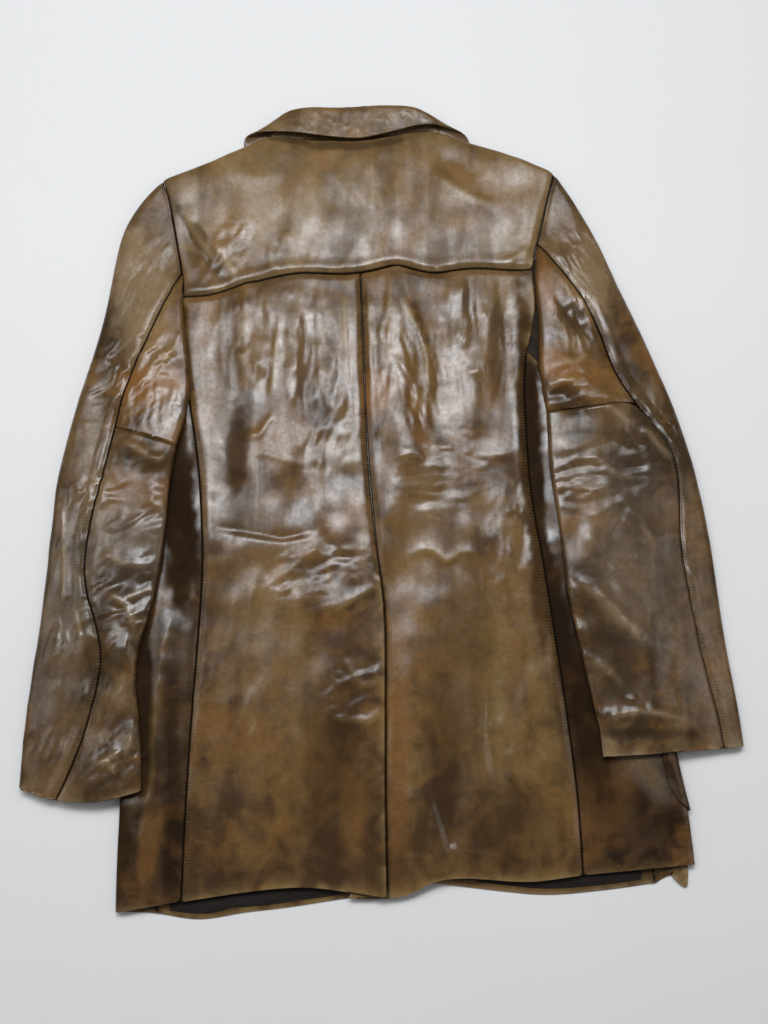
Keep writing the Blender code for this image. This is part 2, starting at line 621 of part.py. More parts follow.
def top_sleeve_form(side):
    """The top sleeve: from the seam under the arm, round the outer fold, to the rear seam."""
    rear = LEFT_REAR if side < 0 else RIGHT_REAR
    out, back = TOP_STOPS

    def ring(u, v):
        station = np.interp(v, np.linspace(0, 1, len(TOP_STATIONS)), TOP_STATIONS)
        tube = station > SPLIT - 0.02
        first = flat_share(side, station, along(UNDER_SEAM, station)) + UNDER_ARM_SHARE
        last = 3 - flat_share(side, station, along(rear, station)) - SEAM_SHARE
        first, last = np.where(tube, first, 0), np.where(tube, last, 3)
        shares = [mix(first, 1, u / out), 1 + (u - out) / (back - out)]
        place = np.select([u < out, u < back], shares, mix(2, last, (u - back) / (1 - back)))
        return station, place, np.where(tube, 0, HALF_SEAM)

    return sleeve_form(side, ring)


def under_sleeve_form(side, first, last):
    """A length of the under sleeve: from the rear seam, round the inner fold, to the seam under the arm."""
    rear = LEFT_REAR if side < 0 else RIGHT_REAR
    fold, under = UNDER_STOPS

    def ring(u, v):
        station = mix(first, last, v)
        top = 3 - flat_share(side, station, along(rear, station)) + SEAM_SHARE
        low = flat_share(side, station, along(UNDER_SEAM, station)) - SEAM_SHARE
        shares = [mix(top, 3, u / fold), 3 + (u - fold) / (under - fold)]
        place = np.select([u < fold, u < under], shares, low * (u - under) / (1 - under))
        return station, place, np.zeros_like(station)

    return sleeve_form(side, ring)


def collar_form(u, v):
    """The collar: u goes round the neck, and v up the stand from its seam, over the roll and down."""
    stations = np.array([[*seam, *roll, *fall, turn] for seam, roll, fall, turn in COLLAR_STATIONS], float)
    place = u * (len(stations) - 1)
    row = through(stations, place)
    seam, roll, fall, turn = row[..., 0:3], row[..., 3:6], row[..., 6:9], np.radians(row[..., 9])
    fall[..., 2] = np.maximum(fall[..., 2], LEATHER / 2)
    out = np.stack([-np.sin(turn), 0 * turn, np.cos(turn)], axis=-1)
    stand = roll - seam
    way = stand / np.linalg.norm(stand, axis=-1, keepdims=True)
    out = out - way * np.sum(out * way, axis=-1, keepdims=True)
    out = out / np.linalg.norm(out, axis=-1, keepdims=True)
    radius = mix(BACK_ROLL, FRONT_ROLL, smooth(np.abs(turn) / np.pi * 1.2 - 0.1))[..., None]
    hub = roll - way * radius
    angle = np.clip((v - 0.3) / 0.4, 0, 1)[..., None] * np.pi
    rolled = hub - out * radius * np.cos(angle) + way * radius * np.sin(angle)
    stand_point = mix(seam, hub - out * radius, np.clip(v / 0.3, 0, 1)[..., None])
    fall_point = mix(hub + out * radius, fall, np.clip((v - 0.7) / 0.3, 0, 1)[..., None])
    points = np.where((v < 0.3)[..., None], stand_point, rolled)
    points = np.where((v > 0.7)[..., None], fall_point, points)
    ends = np.sign(0.5 - u) * COLLAR_ENDS_APART * smooth(1 - np.minimum(u, 1 - u) * 14)
    points[..., 0] -= ends
    return points


def lining_form(side):
    """A strip of lining on the inner face of a front, along its hem."""
    x0, x1 = (-212, -34) if side < 0 else (60, 262)
    hem = FRONT_HEM_LEFT if side < 0 else FRONT_HEM_RIGHT

    def form(u, v):
        x = mix(x0, x1, u)
        y = along(hem, x) + 5 + LINING_HEIGHT * v
        return stack(x, y, inside_face(side, x, y) + LINING_GAP + LINING)

    return form


def corner_form(u, v):
    """The front's hem corner, turned up inside the coat."""
    low_left, low, tip, high_right, high_left = (np.array(point, float) for point in CORNER_TURN)
    edge = through([low_left, low, tip], u * 2)
    back = mix(high_left, high_right, u[..., None])
    plan = mix(edge, back, v[..., None])
    return stack(plan[..., 0], plan[..., 1], front_height(plan[..., 0], plan[..., 1]) + 2 * LEATHER + 0.4)


def pocket_left_form(u, v):
    """A patch pocket on the left front, under the coat."""
    left, right, low, high = LEFT_POCKET
    x, y = mix(left, right, u), mix(low, high, v)
    return stack(x, y, 0.0)


def pocket_right_form(u, v):
    """The patch pocket on the right front, which comes round the side fold."""
    rows = [row_y for row_y, _ in POCKET_EDGE]
    y = np.interp(v, np.linspace(0, 1, len(rows)), rows)
    fold = along(RIGHT_FOLD, y)
    radius = (back_height(fold - 6, y) - POCKET_STAND) / 2
    quarter = radius * np.pi / 2
    last = -(fold - radius - RIGHT_POCKET[0] - 14) - quarter
    over = mix(np.interp(y, *np.array(POCKET_EDGE, float).T), -quarter, u / POCKET_ROUND)
    under = mix(-quarter, last, (u - POCKET_ROUND) / (1 - POCKET_ROUND))
    run = np.where(u < POCKET_ROUND, over, under)
    angle = np.clip(run / radius, -np.pi / 2, np.pi / 2)
    beyond = np.clip(np.abs(run) - quarter, 0, None)
    off_fold = POCKET_STAND + ROUND_POCKET * smooth(2 * angle / np.pi + 1)
    reach = radius + off_fold
    x = fold - radius + reach * np.cos(angle) - beyond
    top = back_height(np.minimum(x, fold - radius), y) + off_fold
    return stack(x, y, np.where(run > quarter, top, POCKET_STAND + radius + reach * np.sin(angle)))


def shades(name, colour, roughness):
    """A plain finish."""
    material = bpy.data.materials.new(name)
    material.use_nodes = True
    shader = material.node_tree.nodes["Principled BSDF"]
    shader.inputs["Base Color"].default_value = (*colour, 1.0)
    shader.inputs["Roughness"].default_value = roughness
    shader.inputs["Metallic"].default_value = 0.0
    material.diffuse_color = (*colour, 1.0)
    return material


def slopes(form, u, v, facing):
    """Unit normals of a form."""
    u_ahead, u_behind = np.clip(u + STEP, 0, 1), np.clip(u - STEP, 0, 1)
    v_ahead, v_behind = np.clip(v + STEP, 0, 1), np.clip(v - STEP, 0, 1)
    across_it = form(u_ahead, v) - form(u_behind, v)
    up_it = form(u, v_ahead) - form(u, v_behind)
    normal = np.cross(across_it, up_it) * facing
    return normal / np.linalg.norm(normal, axis=-1, keepdims=True)


def place(point):
    """Metres about the middle of the coat, from millimetres in the plan."""
    return ((point[0] - MIDDLE[0]) * MM, (point[1] - MIDDLE[1]) * MM, point[2] * MM)


def finish(name, bm, material):
    """An object from a closed mesh, with its faces turned outwards."""
    if bm.calc_volume(signed=True) < 0:
        bmesh.ops.reverse_faces(bm, faces=bm.faces)
    mesh = bpy.data.meshes.new(name)
    bm.to_mesh(mesh)
    bm.free()
    mesh.materials.append(material)
    mesh.shade_smooth()
    mesh.set_sharp_from_angle(angle=np.radians(40))
    piece = bpy.data.objects.new(name, mesh)
    bpy.context.scene.collection.objects.link(piece)
    return piece


def wall(name, form, columns, rows, material, facing=1, thickness=LEATHER, centred=False):
    """Cuts a blank of columns by rows, gives it its thickness, and lays it on a form.

    The form is the wall's outer face, or its middle where `centred` is set. `facing` is 1 where the
    form's columns and rows turn anticlockwise seen from outside, and -1 otherwise.
    """
    bm = bmesh.new()
    bmesh.ops.create_grid(bm, x_segments=columns, y_segments=rows, size=0.5)
    raised = bmesh.ops.extrude_face_region(bm, geom=bm.faces[:])["geom"]
    inner = {item for item in raised if isinstance(item, bmesh.types.BMVert)}
    u = np.array([vert.co.x + 0.5 for vert in bm.verts])
    v = np.array([vert.co.y + 0.5 for vert in bm.verts])
    depth = np.array([thickness if vert in inner else 0.0 for vert in bm.verts])
    if centred:
        depth = depth - thickness / 2
    points = form(u, v) - depth[:, None] * slopes(form, u, v, facing)
    for vert, point in zip(bm.verts, points):
        vert.co = place(point)
    return finish(name, bm, material)


def button(name, x, y, material):
    """A turned button with a dished face, face down."""
    bm = bmesh.new()
    profile = (
        (0.0, 0.8), (5.5, 0.8), (7.0, 0.0), (9.2, 0.0), (10.0, 1.0), (9.0, 2.6), (6.0, 3.0), (0.0, 3.0),
    )
    verts = [bm.verts.new((x_out * MM, 0, z * MM)) for x_out, z in profile]
    edges = [bm.edges.new(pair) for pair in zip(verts[:-1], verts[1:])]
    bmesh.ops.spin(
        bm, geom=verts + edges, cent=(0, 0, 0), axis=(0, 0, 1), angle=2 * np.pi, steps=16, use_merge=True
    )
    bmesh.ops.remove_doubles(bm, verts=bm.verts, dist=1e-6)
    bmesh.ops.translate(bm, verts=bm.verts, vec=place((x, y, 0)))
    return finish(name, bm, material)


def main():
    """Makes the coat's pieces."""
    for item in list(bpy.data.objects):
        bpy.data.objects.remove(item)

    yoke = shades("yoke_leather", OLIVE_TAN, 0.38)
    back = shades("back_leather", BROWN, 0.33)
    side = shades("side_leather", DARK_BROWN, 0.36)
    arm = shades("sleeve_leather", GREYED_BROWN, 0.35)
    rust = shades("under_sleeve_leather", RUST, 0.36)
    lining = shades("lining", BLACK_LINING, 0.6)
    horn = shades("button_horn", HORN, 0.3)

    wall("yoke", yoke_form, 18, YOKE_ROWS, yoke)
    wall("back_left", back_left_form, 9, 27, back)
    wall("back_right", back_right_form, 9, 27, back)
    wall("vent_underlap", underlap_form, 3, 13, rust)
    for word, hand in (("left", -1), ("right", 1)):
        wall(f"side_{word}", side_form(hand), SIDE_COLUMNS, 20, side, facing=hand)
        wall(f"front_{word}", front_form(hand), 12, FRONT_ROWS, back, facing=-1)
        wall(f"lining_{word}", lining_form(hand), 8, 3, lining, thickness=LINING)
        top_rows = len(TOP_STATIONS) - 1
        wall(f"top_sleeve_{word}", top_sleeve_form(hand), TOP_COLUMNS, top_rows, arm, facing=hand)
        upper = under_sleeve_form(hand, SPLIT + 2 * ELBOW_GAP, ELBOW - ELBOW_GAP)
        lower = under_sleeve_form(hand, ELBOW + ELBOW_GAP, CUFF)
        wall(f"under_sleeve_upper_{word}", upper, UNDER_COLUMNS, 8, rust, facing=hand)
        wall(f"under_sleeve_lower_{word}", lower, UNDER_COLUMNS, 16, arm, facing=hand)
    wall("collar", collar_form, 40, 9, yoke, centred=True)
    wall("hem_corner_right", corner_form, 4, 2, yoke)
    wall("pocket_left", pocket_left_form, 4, 4, side, facing=-1, thickness=POCKET_WALL)
    wall("pocket_right", pocket_right_form, 10, len(POCKET_EDGE) - 1, side, thickness=POCKET_WALL)
    for number, height in enumerate(BUTTON_HEIGHTS, start=1):
        button(f"button_{number}", float(along(CENTRE_BACK, np.array(float(height)))), height, horn)


main()
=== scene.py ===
"""The looks of a worn leather car coat that lies flat with its back up.

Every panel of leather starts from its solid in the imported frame. The solid's coarse wall is refined, its
cut edges are rounded, and the folds, creases and wrinkles of the worn leather are worked into both of its
skins. Plans are in millimetres, as in the part's source: X to the right and Y up from the hem.
"""

from __future__ import annotations

import logging
import math
from dataclasses import dataclass
from enum import Enum
from functools import partial

import bmesh
import bpy
import numpy as np
from mathutils import Matrix, Vector
from mathutils.bvhtree import BVHTree
from mathutils.kdtree import KDTree


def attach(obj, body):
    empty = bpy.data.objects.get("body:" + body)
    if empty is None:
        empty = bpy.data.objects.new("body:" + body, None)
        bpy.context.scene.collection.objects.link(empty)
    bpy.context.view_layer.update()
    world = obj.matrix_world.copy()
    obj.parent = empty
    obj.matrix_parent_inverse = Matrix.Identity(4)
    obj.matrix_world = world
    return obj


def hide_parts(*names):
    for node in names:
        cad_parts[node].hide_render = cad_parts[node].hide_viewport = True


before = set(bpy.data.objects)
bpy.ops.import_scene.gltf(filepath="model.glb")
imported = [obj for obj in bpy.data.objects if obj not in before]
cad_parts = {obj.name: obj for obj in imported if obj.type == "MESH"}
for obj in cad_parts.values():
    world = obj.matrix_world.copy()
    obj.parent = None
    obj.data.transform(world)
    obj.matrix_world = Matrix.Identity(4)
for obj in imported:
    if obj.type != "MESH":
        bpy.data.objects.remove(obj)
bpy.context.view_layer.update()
LOG = logging.getLogger("coat")

MM = 0.001
PLAN_MIDDLE = (1.0, 441.0)  # the part frame's origin in the plan
MERGE_DISTANCE = 1e-5
JOIN_ANGLE = math.radians(60)  # triangles that meet at less than this join into quads
JOIN_SHAPE_ANGLE = math.radians(70)
CUT_EDGE_ANGLE = math.radians(70)  # faces that meet at more than this meet at a cut edge
LEATHER = 1.6
EDGE_ROUND = 0.75  # how far a cut edge's corners are rounded off
EDGE_REACH = 0.45  # the cut edge's points lie this near to the line under the rim
PROBE = 2.5  # steps to each side of a rim that find its skin
PROBE_NEAR = 1.5
SEAM_DIP = 1.5  # how far leather turns down at a seam
SEAM_DIP_REACH = 3.2
SEAM_RIDGE = 0.7  # rise over the seam's turned-in edge
SEAM_RIDGE_PLACE = 9.0
SEAM_RIDGE_FALL = 5.0
NEAR = 2.4  # panels closer than this are sewn together
LAPPED = 4.5  # and at an edge closer than this to another panel lies a dark line of painted shade
COVER_REACH = 10.0  # wrinkles rise to their full height this far from what lies over a panel
COVER_HEIGHT = 0.05  # metres above a panel within which something lies over it
CROSSING_REACH = 18.0  # and this far from an edge against another layer
FAR_AWAY = 99.0
STITCH_IN = 2.6
STITCH_PITCH = 3.3
STITCH_LENGTH = 2.3
STITCH_WIDTH = 0.9
STITCH_SIDES = 6
STITCH_RINGS = 4
FOLD_END = 0.22  # share of a fold's line over which it fades out
FOLD_UNEVEN = 17.0  # spacing of the uneven rise along a fold

Pair = tuple[float, float]
Triple = tuple[float, float, float]
Colour = tuple[float, float, float]


class Relief(Enum):
    """How the leather bends across a fold."""

    ROLL = "soft roll, or a trough where it is low"
    CREASE = "sharp crest, or a groove where it is low"
    LAP = "steep on one side and slow on the other"


class Tint(Enum):
    """What a patch does to the leather's colour: wear and stains, and painted shade in the dark patches."""

    DARK = "dark"
    PALE = "pale"
    RUST = "rust"
    GREY = "grey"


class Skin(Enum):
    """The faces of a leather wall."""

    OUTER = 0
    INNER = 1
    CUT = 2


@dataclass(frozen=True)
class Fold:
    """A fold worked into the leather along a line of the plan."""

    relief: Relief
    line: tuple[Pair, ...]
    reach: float
    height: float


@dataclass(frozen=True)
class Crumple:
    """A patch of leather with many small wrinkles that run one way."""

    middle: Pair
    half: Pair
    heading: float
    spacing: float
    length: float
    height: float
    fine: float
    seed: int


@dataclass(frozen=True)
class Patch:
    """A patch in the leather's colour: wear, a stain, or painted shade."""

    tint: Tint
    middle: Pair
    half: Pair
    heading: float
    strength: float


def fold_along(relief: Relief, reach: float, height: float, *line: Pair) -> Fold:
    """A fold along the points of a line."""
    return Fold(relief, line, reach, height)


roll, crease, lap = (partial(fold_along, relief) for relief in Relief)
darker, paler, rustier, greyer = (partial(Patch, tint) for tint in Tint)

BODY_FOLDS: tuple[Fold, ...] = (
    lap(6, 2.4, (-226, 762), (-205, 729), (-186, 701), (-172, 684)),
    roll(12.0, 1.6, (-180, 812), (-150, 796), (-118, 800)),
    crease(5.0, 1.6, (60, 800), (92, 776), (130, 760)),
    roll(9.0, 1.5, (20, 820), (18, 770), (22, 722)),
    crease(3.5, 1.3, (-12, 832), (-10, 790), (-13, 752)),
    roll(9.0, 2.2, (-151, 695), (-148, 627), (-151, 591)),
    roll(10.5, 2.4, (-125, 680), (-131, 616), (-136, 542)),
    lap(6, 1.8, (-108, 641), (-115, 593), (-120, 534)),
    roll(11.5, 2.6, (-90, 680), (-91, 616), (-97, 542)),
    roll(11.5, 2.4, (-62, 676), (-65, 604), (-56, 536)),
    crease(5, 1.6, (-39, 672), (-41, 604), (-34, 542)),
    crease(5, 1.8, (-158, 593), (-151, 585), (-141, 599)),
    crease(5, 2.4, (-146, 502), (-132, 497), (-116, 522)),
    roll(14.5, -3.0, (-155, 536), (-155, 481), (-150, 420)),
    crease(3.5, 1.0, (-142, 477), (-120, 475), (-101, 468), (-83, 464)),
    lap(5, -2.6, (-175, 396), (-140, 390), (-111, 385), (-96, 386), (-71, 392)),
    crease(3.5, 1.0, (-80, 463), (-72, 427), (-68, 405)),
    roll(8.0, -2.0, (-63, 398), (-58, 380), (-42, 365), (-31, 370)),
    crease(3.5, 1.2, (-82, 365), (-66, 373)),
    crease(3.5, 0.9, (-73, 336), (-52, 341)),
    crease(4, 1.2, (-79, 306), (-62, 309), (-44, 315)),
    roll(13.0, 2.2, (-53, 553), (-39, 503), (-26, 448)),
    roll(10.5, 1.6, (-70, 492), (-63, 448), (-59, 410)),
    roll(10.5, 1.4, (-184, 514), (-180, 426), (-176, 319)),
    crease(4, 1.8, (-14, 670), (-13, 616), (-10, 539)),
    crease(4.5, 2.0, (9, 672), (8, 616), (5, 568)),
    crease(6, 2.6, (18, 662), (33, 630), (47, 593), (52, 534)),
    lap(5, 2.2, (14, 584), (25, 568), (37, 542), (33, 520)),
    roll(10.5, 2.4, (82, 679), (88, 616), (96, 568)),
    roll(11.5, 2.6, (116, 676), (114, 616), (104, 542)),
    crease(4, 1.4, (90, 568), (109, 567)),
    crease(4, 1.1, (52, 484), (78, 482)),
    crease(4, 1.2, (14, 471), (46, 473)),
    crease(4, 1.1, (105, 474), (137, 476)),
    crease(4, 1.5, (28, 366), (49, 373), (68, 361), (84, 370), (105, 366)),
    roll(13.0, -2.4, (130, 662), (137, 593), (130, 514)),
    roll(10.5, -2.0, (64, 651), (68, 593), (69, 514)),
    roll(10.5, -1.4, (-2, 514), (-4, 459), (-10, 394)),
    roll(11.5, 1.4, (131, 420), (133, 361), (136, 319)),
    crease(4.5, 1.8, (-54, 306), (-31, 319), (0, 338)),
    crease(4, 1.2, (-42, 263), (-17, 231), (0, 241)),
    crease(4.5, 1.6, (-51, 197), (-30, 196), (-10, 195), (2, 210)),
    roll(10.5, 1.6, (27, 277), (33, 195), (37, 76)),
    roll(14.5, -2.2, (56, 226), (57, 155), (59, 86)),
    roll(11.5, -1.8, (101, 277), (114, 216), (127, 120)),
    roll(11.5, 1.6, (162, 265), (141, 177), (130, 133)),
    crease(3.5, 0.9, (92, 184), (116, 189)),
    crease(3.5, 0.8, (117, 231), (136, 231)),
    lap(5, -3.2, (54, 116), (67, 74), (70, 46)),
    crease(4, -2.0, (78, 92), (68, 69)),
    roll(8.0, 1.6, (90, 126), (81, 76), (76, 46)),
    crease(3, 0.8, (49, 64), (79, 65), (114, 65)),
    crease(7, 3.0, (-216, 323), (-219, 302), (-227, 258), (-232, 193),
           (-232, 142), (-237, 110), (-243, 69), (-247, 33)),
    roll(8.0, 2.0, (-229, 226), (-222, 110), (-223, 61)),
    roll(10.5, -2.4, (-215, 226), (-212, 116), (-211, 38)),
    roll(13.0, -2.6, (-211, 459), (-212, 361), (-219, 277)),
    roll(15.5, -3.2, (168, 616), (163, 481), (172, 361), (180, 267)),
    roll(13.0, -2.0, (214, 226), (220, 170), (227, 116)),
    crease(4.5, 1.8, (136, 695), (151, 702), (165, 708)),
    roll(11.5, -3.2, (-220, 738), (-203, 714), (-176, 681)),
    crease(6, 2.6, (-188, 721), (-174, 700), (-158, 679)),
    crease(4, 2.0, (-124, 709), (-121, 695), (-120, 682)),
    crease(4, 1.8, (-113, 715), (-107, 721), (-102, 729)),
    roll(10.5, -1.8, (66, 823), (86, 812), (106, 792)),
    crease(3, 0.7, (-18, 834), (-17, 814), (-14, 793)),
    roll(18.0, 1.0, (-91, 751), (-58, 742), (-24, 750)),
    roll(18.0, 1.2, (42, 745), (81, 735), (132, 751)),
)
LEFT_FOLDS: tuple[Fold, ...] = (
    crease(5, 3.2, (-283, 488), (-264, 482), (-238, 467), (-226, 478)),
    roll(10.5, -2.4, (-278, 470), (-251, 457), (-227, 424)),
    crease(5, 1.8, (-326, 508), (-305, 508), (-287, 503)),
    roll(9.0, -2.2, (-274, 411), (-249, 411), (-222, 406)),
    crease(5, 2.0, (-294, 366), (-278, 361), (-266, 356), (-241, 351)),
    roll(11.5, -2.6, (-282, 337), (-256, 334), (-235, 341)),
    crease(5, 2.6, (-285, 326), (-264, 312), (-253, 285)),
    crease(5, 2.0, (-266, 319), (-249, 326), (-234, 332)),
    roll(10.5, 1.8, (-278, 287), (-269, 225), (-264, 195)),
    crease(5, 2.4, (-252, 195), (-255, 170), (-260, 157)),
    crease(4, 3.0, (-283, 147), (-272, 158), (-263, 163)),
    crease(4, 2.4, (-288, 153), (-276, 151), (-266, 140)),
    roll(8.0, 2.0, (-283, 130), (-263, 133), (-246, 150)),
    lap(5, 2.0, (-339, 424), (-333, 371), (-331, 308)),
    roll(11.5, -2.0, (-311, 276), (-297, 256), (-287, 215)),
    crease(5, 2.2, (-318, 308), (-309, 276), (-311, 248)),
    roll(11.5, 2.0, (-253, 659), (-262, 613), (-269, 568)),
    crease(5, 1.6, (-235, 613), (-251, 590), (-274, 579)),
    crease(5, 1.6, (-217, 613), (-227, 588), (-239, 577)),
    roll(10.5, -1.8, (-284, 602), (-294, 557), (-301, 512)),
    roll(9.0, -1.8, (-228, 566), (-235, 540), (-248, 521)),
)
RIGHT_FOLDS: tuple[Fold, ...] = (
    crease(6, 3.0, (234, 526), (246, 522), (267, 505)),
    roll(10.5, -3.0, (199, 640), (210, 626), (221, 613)),
    roll(10.5, -3.0, (183, 547), (197, 534), (214, 520)),
    crease(5, 2.0, (176, 542), (192, 553), (213, 556)),
    crease(6, 2.4, (276, 506), (291, 489), (308, 467)),
    crease(7, 2.8, (201, 339), (231, 316), (258, 287), (281, 264)),
    roll(10.5, -2.2, (195, 318), (223, 293), (247, 261)),
    crease(6, 2.6, (227, 197), (263, 203), (305, 198)),
    roll(8.0, -1.8, (228, 182), (262, 181), (303, 185)),
    roll(11.5, 1.6, (230, 424), (218, 381), (208, 344)),
    crease(5, 1.6, (221, 473), (244, 456), (273, 446)),
    crease(5, 1.6, (271, 402), (283, 376), (279, 339)),
    roll(10.5, -1.6, (290, 360), (296, 297), (301, 235)),
    roll(11.5, 1.8, (223, 694), (238, 647), (252, 590)),
    crease(5, 1.6, (192, 584), (208, 576), (225, 588)),
    roll(10.5, -1.8, (257, 578), (269, 550), (287, 534)),
    crease(5, 1.5, (216, 256), (234, 244), (248, 225)),
)
BODY_CRUMPLES: tuple[Crumple, ...] = (
    Crumple((-149, 599), (75, 48), 92, 9, 60, 1.1, 0.5, 1),
    Crumple((-78, 599), (80, 48), 90, 11, 80, 1.5, 0.6, 2),
    Crumple((-55, 503), (64, 32), 80, 9, 50, 0.9, 0.8, 3),
    Crumple((-4, 599), (75, 24), 88, 8, 60, 1.1, 0.6, 4),
    Crumple((33, 570), (75, 32), 100, 10, 60, 1.3, 0.7, 5),
    Crumple((102, 610), (75, 48), 92, 10, 70, 1.5, 0.6, 6),
    Crumple((135, 383), (64, 27), 85, 9, 40, 0.8, 0.7, 7),
    Crumple((62, 459), (64, 53), 5, 12, 45, 0.7, 0.4, 8),
    Crumple((-65, 351), (59, 32), 15, 9, 35, 0.9, 0.7, 9),
    Crumple((-24, 226), (43, 32), 20, 9, 35, 0.9, 0.7, 10),
    Crumple((-173, 709), (48, 24), 55, 6, 28, 1.2, 1.0, 11),
    Crumple((153, 703), (28, 17), 20, 6, 24, 0.8, 0.8, 12),
    Crumple((-117, 702), (26, 15), 80, 5, 22, 0.9, 0.8, 13),
    Crumple((122, 216), (171, 59), 96, 18, 120, 1.1, 0.3, 14),
    Crumple((-135, 216), (182, 64), 90, 26, 140, 0.8, 0.15, 15),
    Crumple((74, 67), (28, 36), 90, 7, 30, 0.9, 0.7, 16),
    Crumple((19, 226), (32, 13), 110, 5, 40, 0.3, 0.8, 17),
    Crumple((262, 140), (36, 24), 130, 6, 30, 0.6, 1.0, 18),
    Crumple((259, 76), (64, 32), 20, 14, 50, 0.6, 0.3, 19),
    Crumple((-35, 769), (128, 64), 88, 22, 80, 0.5, 0.15, 20),
)
LEFT_CRUMPLES: tuple[Crumple, ...] = (
    Crumple((-249, 683), (59, 27), 60, 10, 45, 1.2, 0.5, 23),
    Crumple((-271, 568), (64, 43), 30, 11, 40, 1.4, 0.6, 24),
    Crumple((-248, 529), (28, 36), 90, 6, 26, 1.0, 0.9, 25),
    Crumple((-276, 424), (75, 59), 10, 14, 45, 1.4, 0.5, 26),
    Crumple((-272, 328), (53, 48), 25, 11, 40, 1.5, 0.6, 27),
    Crumple((-320, 360), (128, 32), 85, 14, 50, 1.1, 0.4, 28),
    Crumple((-268, 236), (64, 43), 80, 12, 45, 1.2, 0.4, 29),
    Crumple((-328, 215), (86, 48), 80, 16, 60, 1.1, 0.4, 30),
    Crumple((-269, 150), (36, 30), 45, 7, 24, 1.6, 1.0, 31),
)
RIGHT_CRUMPLES: tuple[Crumple, ...] = (
    Crumple((223, 694), (64, 32), 120, 12, 50, 1.2, 0.4, 34),
    Crumple((210, 624), (43, 27), 100, 9, 34, 1.4, 0.7, 35),
    Crumple((200, 550), (32, 32), 20, 8, 30, 1.4, 0.8, 36),
    Crumple((286, 500), (53, 43), 130, 11, 40, 1.3, 0.5, 37),
    Crumple((231, 456), (75, 48), 15, 13, 45, 1.4, 0.5, 38),
    Crumple((269, 360), (86, 53), 120, 15, 55, 1.2, 0.4, 39),
    Crumple((226, 297), (64, 48), 140, 12, 45, 1.3, 0.5, 40),
    Crumple((307, 276), (96, 43), 105, 15, 60, 1.1, 0.4, 41),
    Crumple((273, 203), (28, 59), 90, 8, 40, 1.5, 0.8, 42),
    Crumple((262, 175), (13, 53), 90, 7, 16, 0.7, 0.7, 43),
)
# The dark patches are partly stains and partly painted shade: in the gap under the collar's edge, in the
# troughs beside the sleeves and in the troughs of deep folds.
BODY_PATCHES: tuple[Patch, ...] = (
    # painted shade in the dark gap under the collar's edge
    darker((-103, 842), (26, 5), -10, 0.9),
    darker((-45, 834), (40, 6), 0, 0.9),
    darker((6, 839), (30, 5), 12, 0.9),
    greyer((272, 142), (34, 16), 130, 0.7),
    paler((268, 147), (24, 9), 130, 0.5),
    paler((140, 655), (34, 26), 0, 0.4),
    rustier((136, 668), (26, 18), 0, 0.35),
    darker((122, 84), (60, 44), 0, 0.35),
    darker((80, 250), (34, 110), 0, 0.35),
    darker((-40, 150), (24, 110), 0, 0.3),
    darker((-150, 440), (18, 50), 0, 0.4),
    darker((-198, 716), (54, 9), 125, 0.9),
    rustier((-174, 727), (43, 17), 60, 0.5),
    paler((-147, 751), (64, 32), 20, 0.25),
    rustier((-6, 545), (28, 21), 90, 0.8),
    rustier((-106, 514), (53, 24), 100, 0.35),
    darker((-153, 475), (59, 14), 90, 0.7),
    darker((-163, 599), (75, 11), 92, 0.35),
    darker((-52, 155), (118, 32), 88, 0.6),
    darker((-10, 116), (75, 13), 90, 0.4),
    rustier((-29, 101), (48, 15), 90, 0.55),
    rustier((17, 175), (128, 14), 91, 0.6),
    darker((65, 170), (91, 21), 90, 0.55),
    darker((70, 448), (96, 15), 92, 0.35),
    darker((128, 582), (86, 10), 92, 0.4),
    paler((-137, 319), (86, 37), 85, 0.25),
    paler((-84, 226), (75, 27), 88, 0.15),
    greyer((-171, 503), (118, 13), 88, 0.5),
    greyer((-100, 604), (80, 53), 90, 0.35),
    # dark strips in the troughs beside the left sleeve: painted shade
    darker((-213, 404), (118, 21), 95, 0.9),
    darker((-242, 226), (118, 9), 96, 0.8),
    darker((-212, 116), (118, 10), 92, 0.6),
    rustier((-234, 67), (53, 10), 84, 0.5),
    darker((-264, 67), (64, 13), 88, 0.7),
    # dark strips in the trough beside the right sleeve: painted shade
    darker((160, 481), (214, 13), 92, 0.95),
    darker((178, 319), (128, 15), 102, 0.9),
    darker((213, 195), (96, 24), 100, 0.9),
    rustier((221, 116), (53, 32), 60, 0.35),
    darker((250, 101), (64, 21), 150, 0.4),
    paler((170, 195), (118, 11), 100, 0.2),
    paler((101, 226), (128, 32), 95, 0.2),
    greyer((107, 616), (75, 32), 90, 0.3),
    paler((-47, 793), (96, 43), 0, 0.15),
    rustier((88, 787), (64, 32), 150, 0.25),
    darker((34, 47), (96, 11), 0, 0.3),
    darker((-131, 38), (118, 11), 8, 0.25),
)
LEFT_PATCHES: tuple[Patch, ...] = (
    # Most of the dark patches lie in the troughs of the sleeve's folds: painted shade.
    paler((-262, 655), (90, 34), 105, 0.7),
    paler((-300, 450), (80, 20), 95, 0.35),
    rustier((-249, 551), (26, 36), 90, 0.9),
    rustier((-255, 435), (39, 28), 0, 0.45),
    darker((-256, 466), (36, 15), 160, 0.6),
    darker((-264, 336), (36, 17), 10, 0.5),
    greyer((-274, 381), (64, 43), 0, 0.5),
    greyer((-332, 297), (128, 28), 85, 0.4),
    darker((-289, 256), (64, 21), 70, 0.6),
    darker((-271, 126), (32, 13), 20, 0.7),
    rustier((-258, 126), (28, 11), 20, 0.4),
    greyer((-244, 706), (53, 19), 60, 0.3),
)
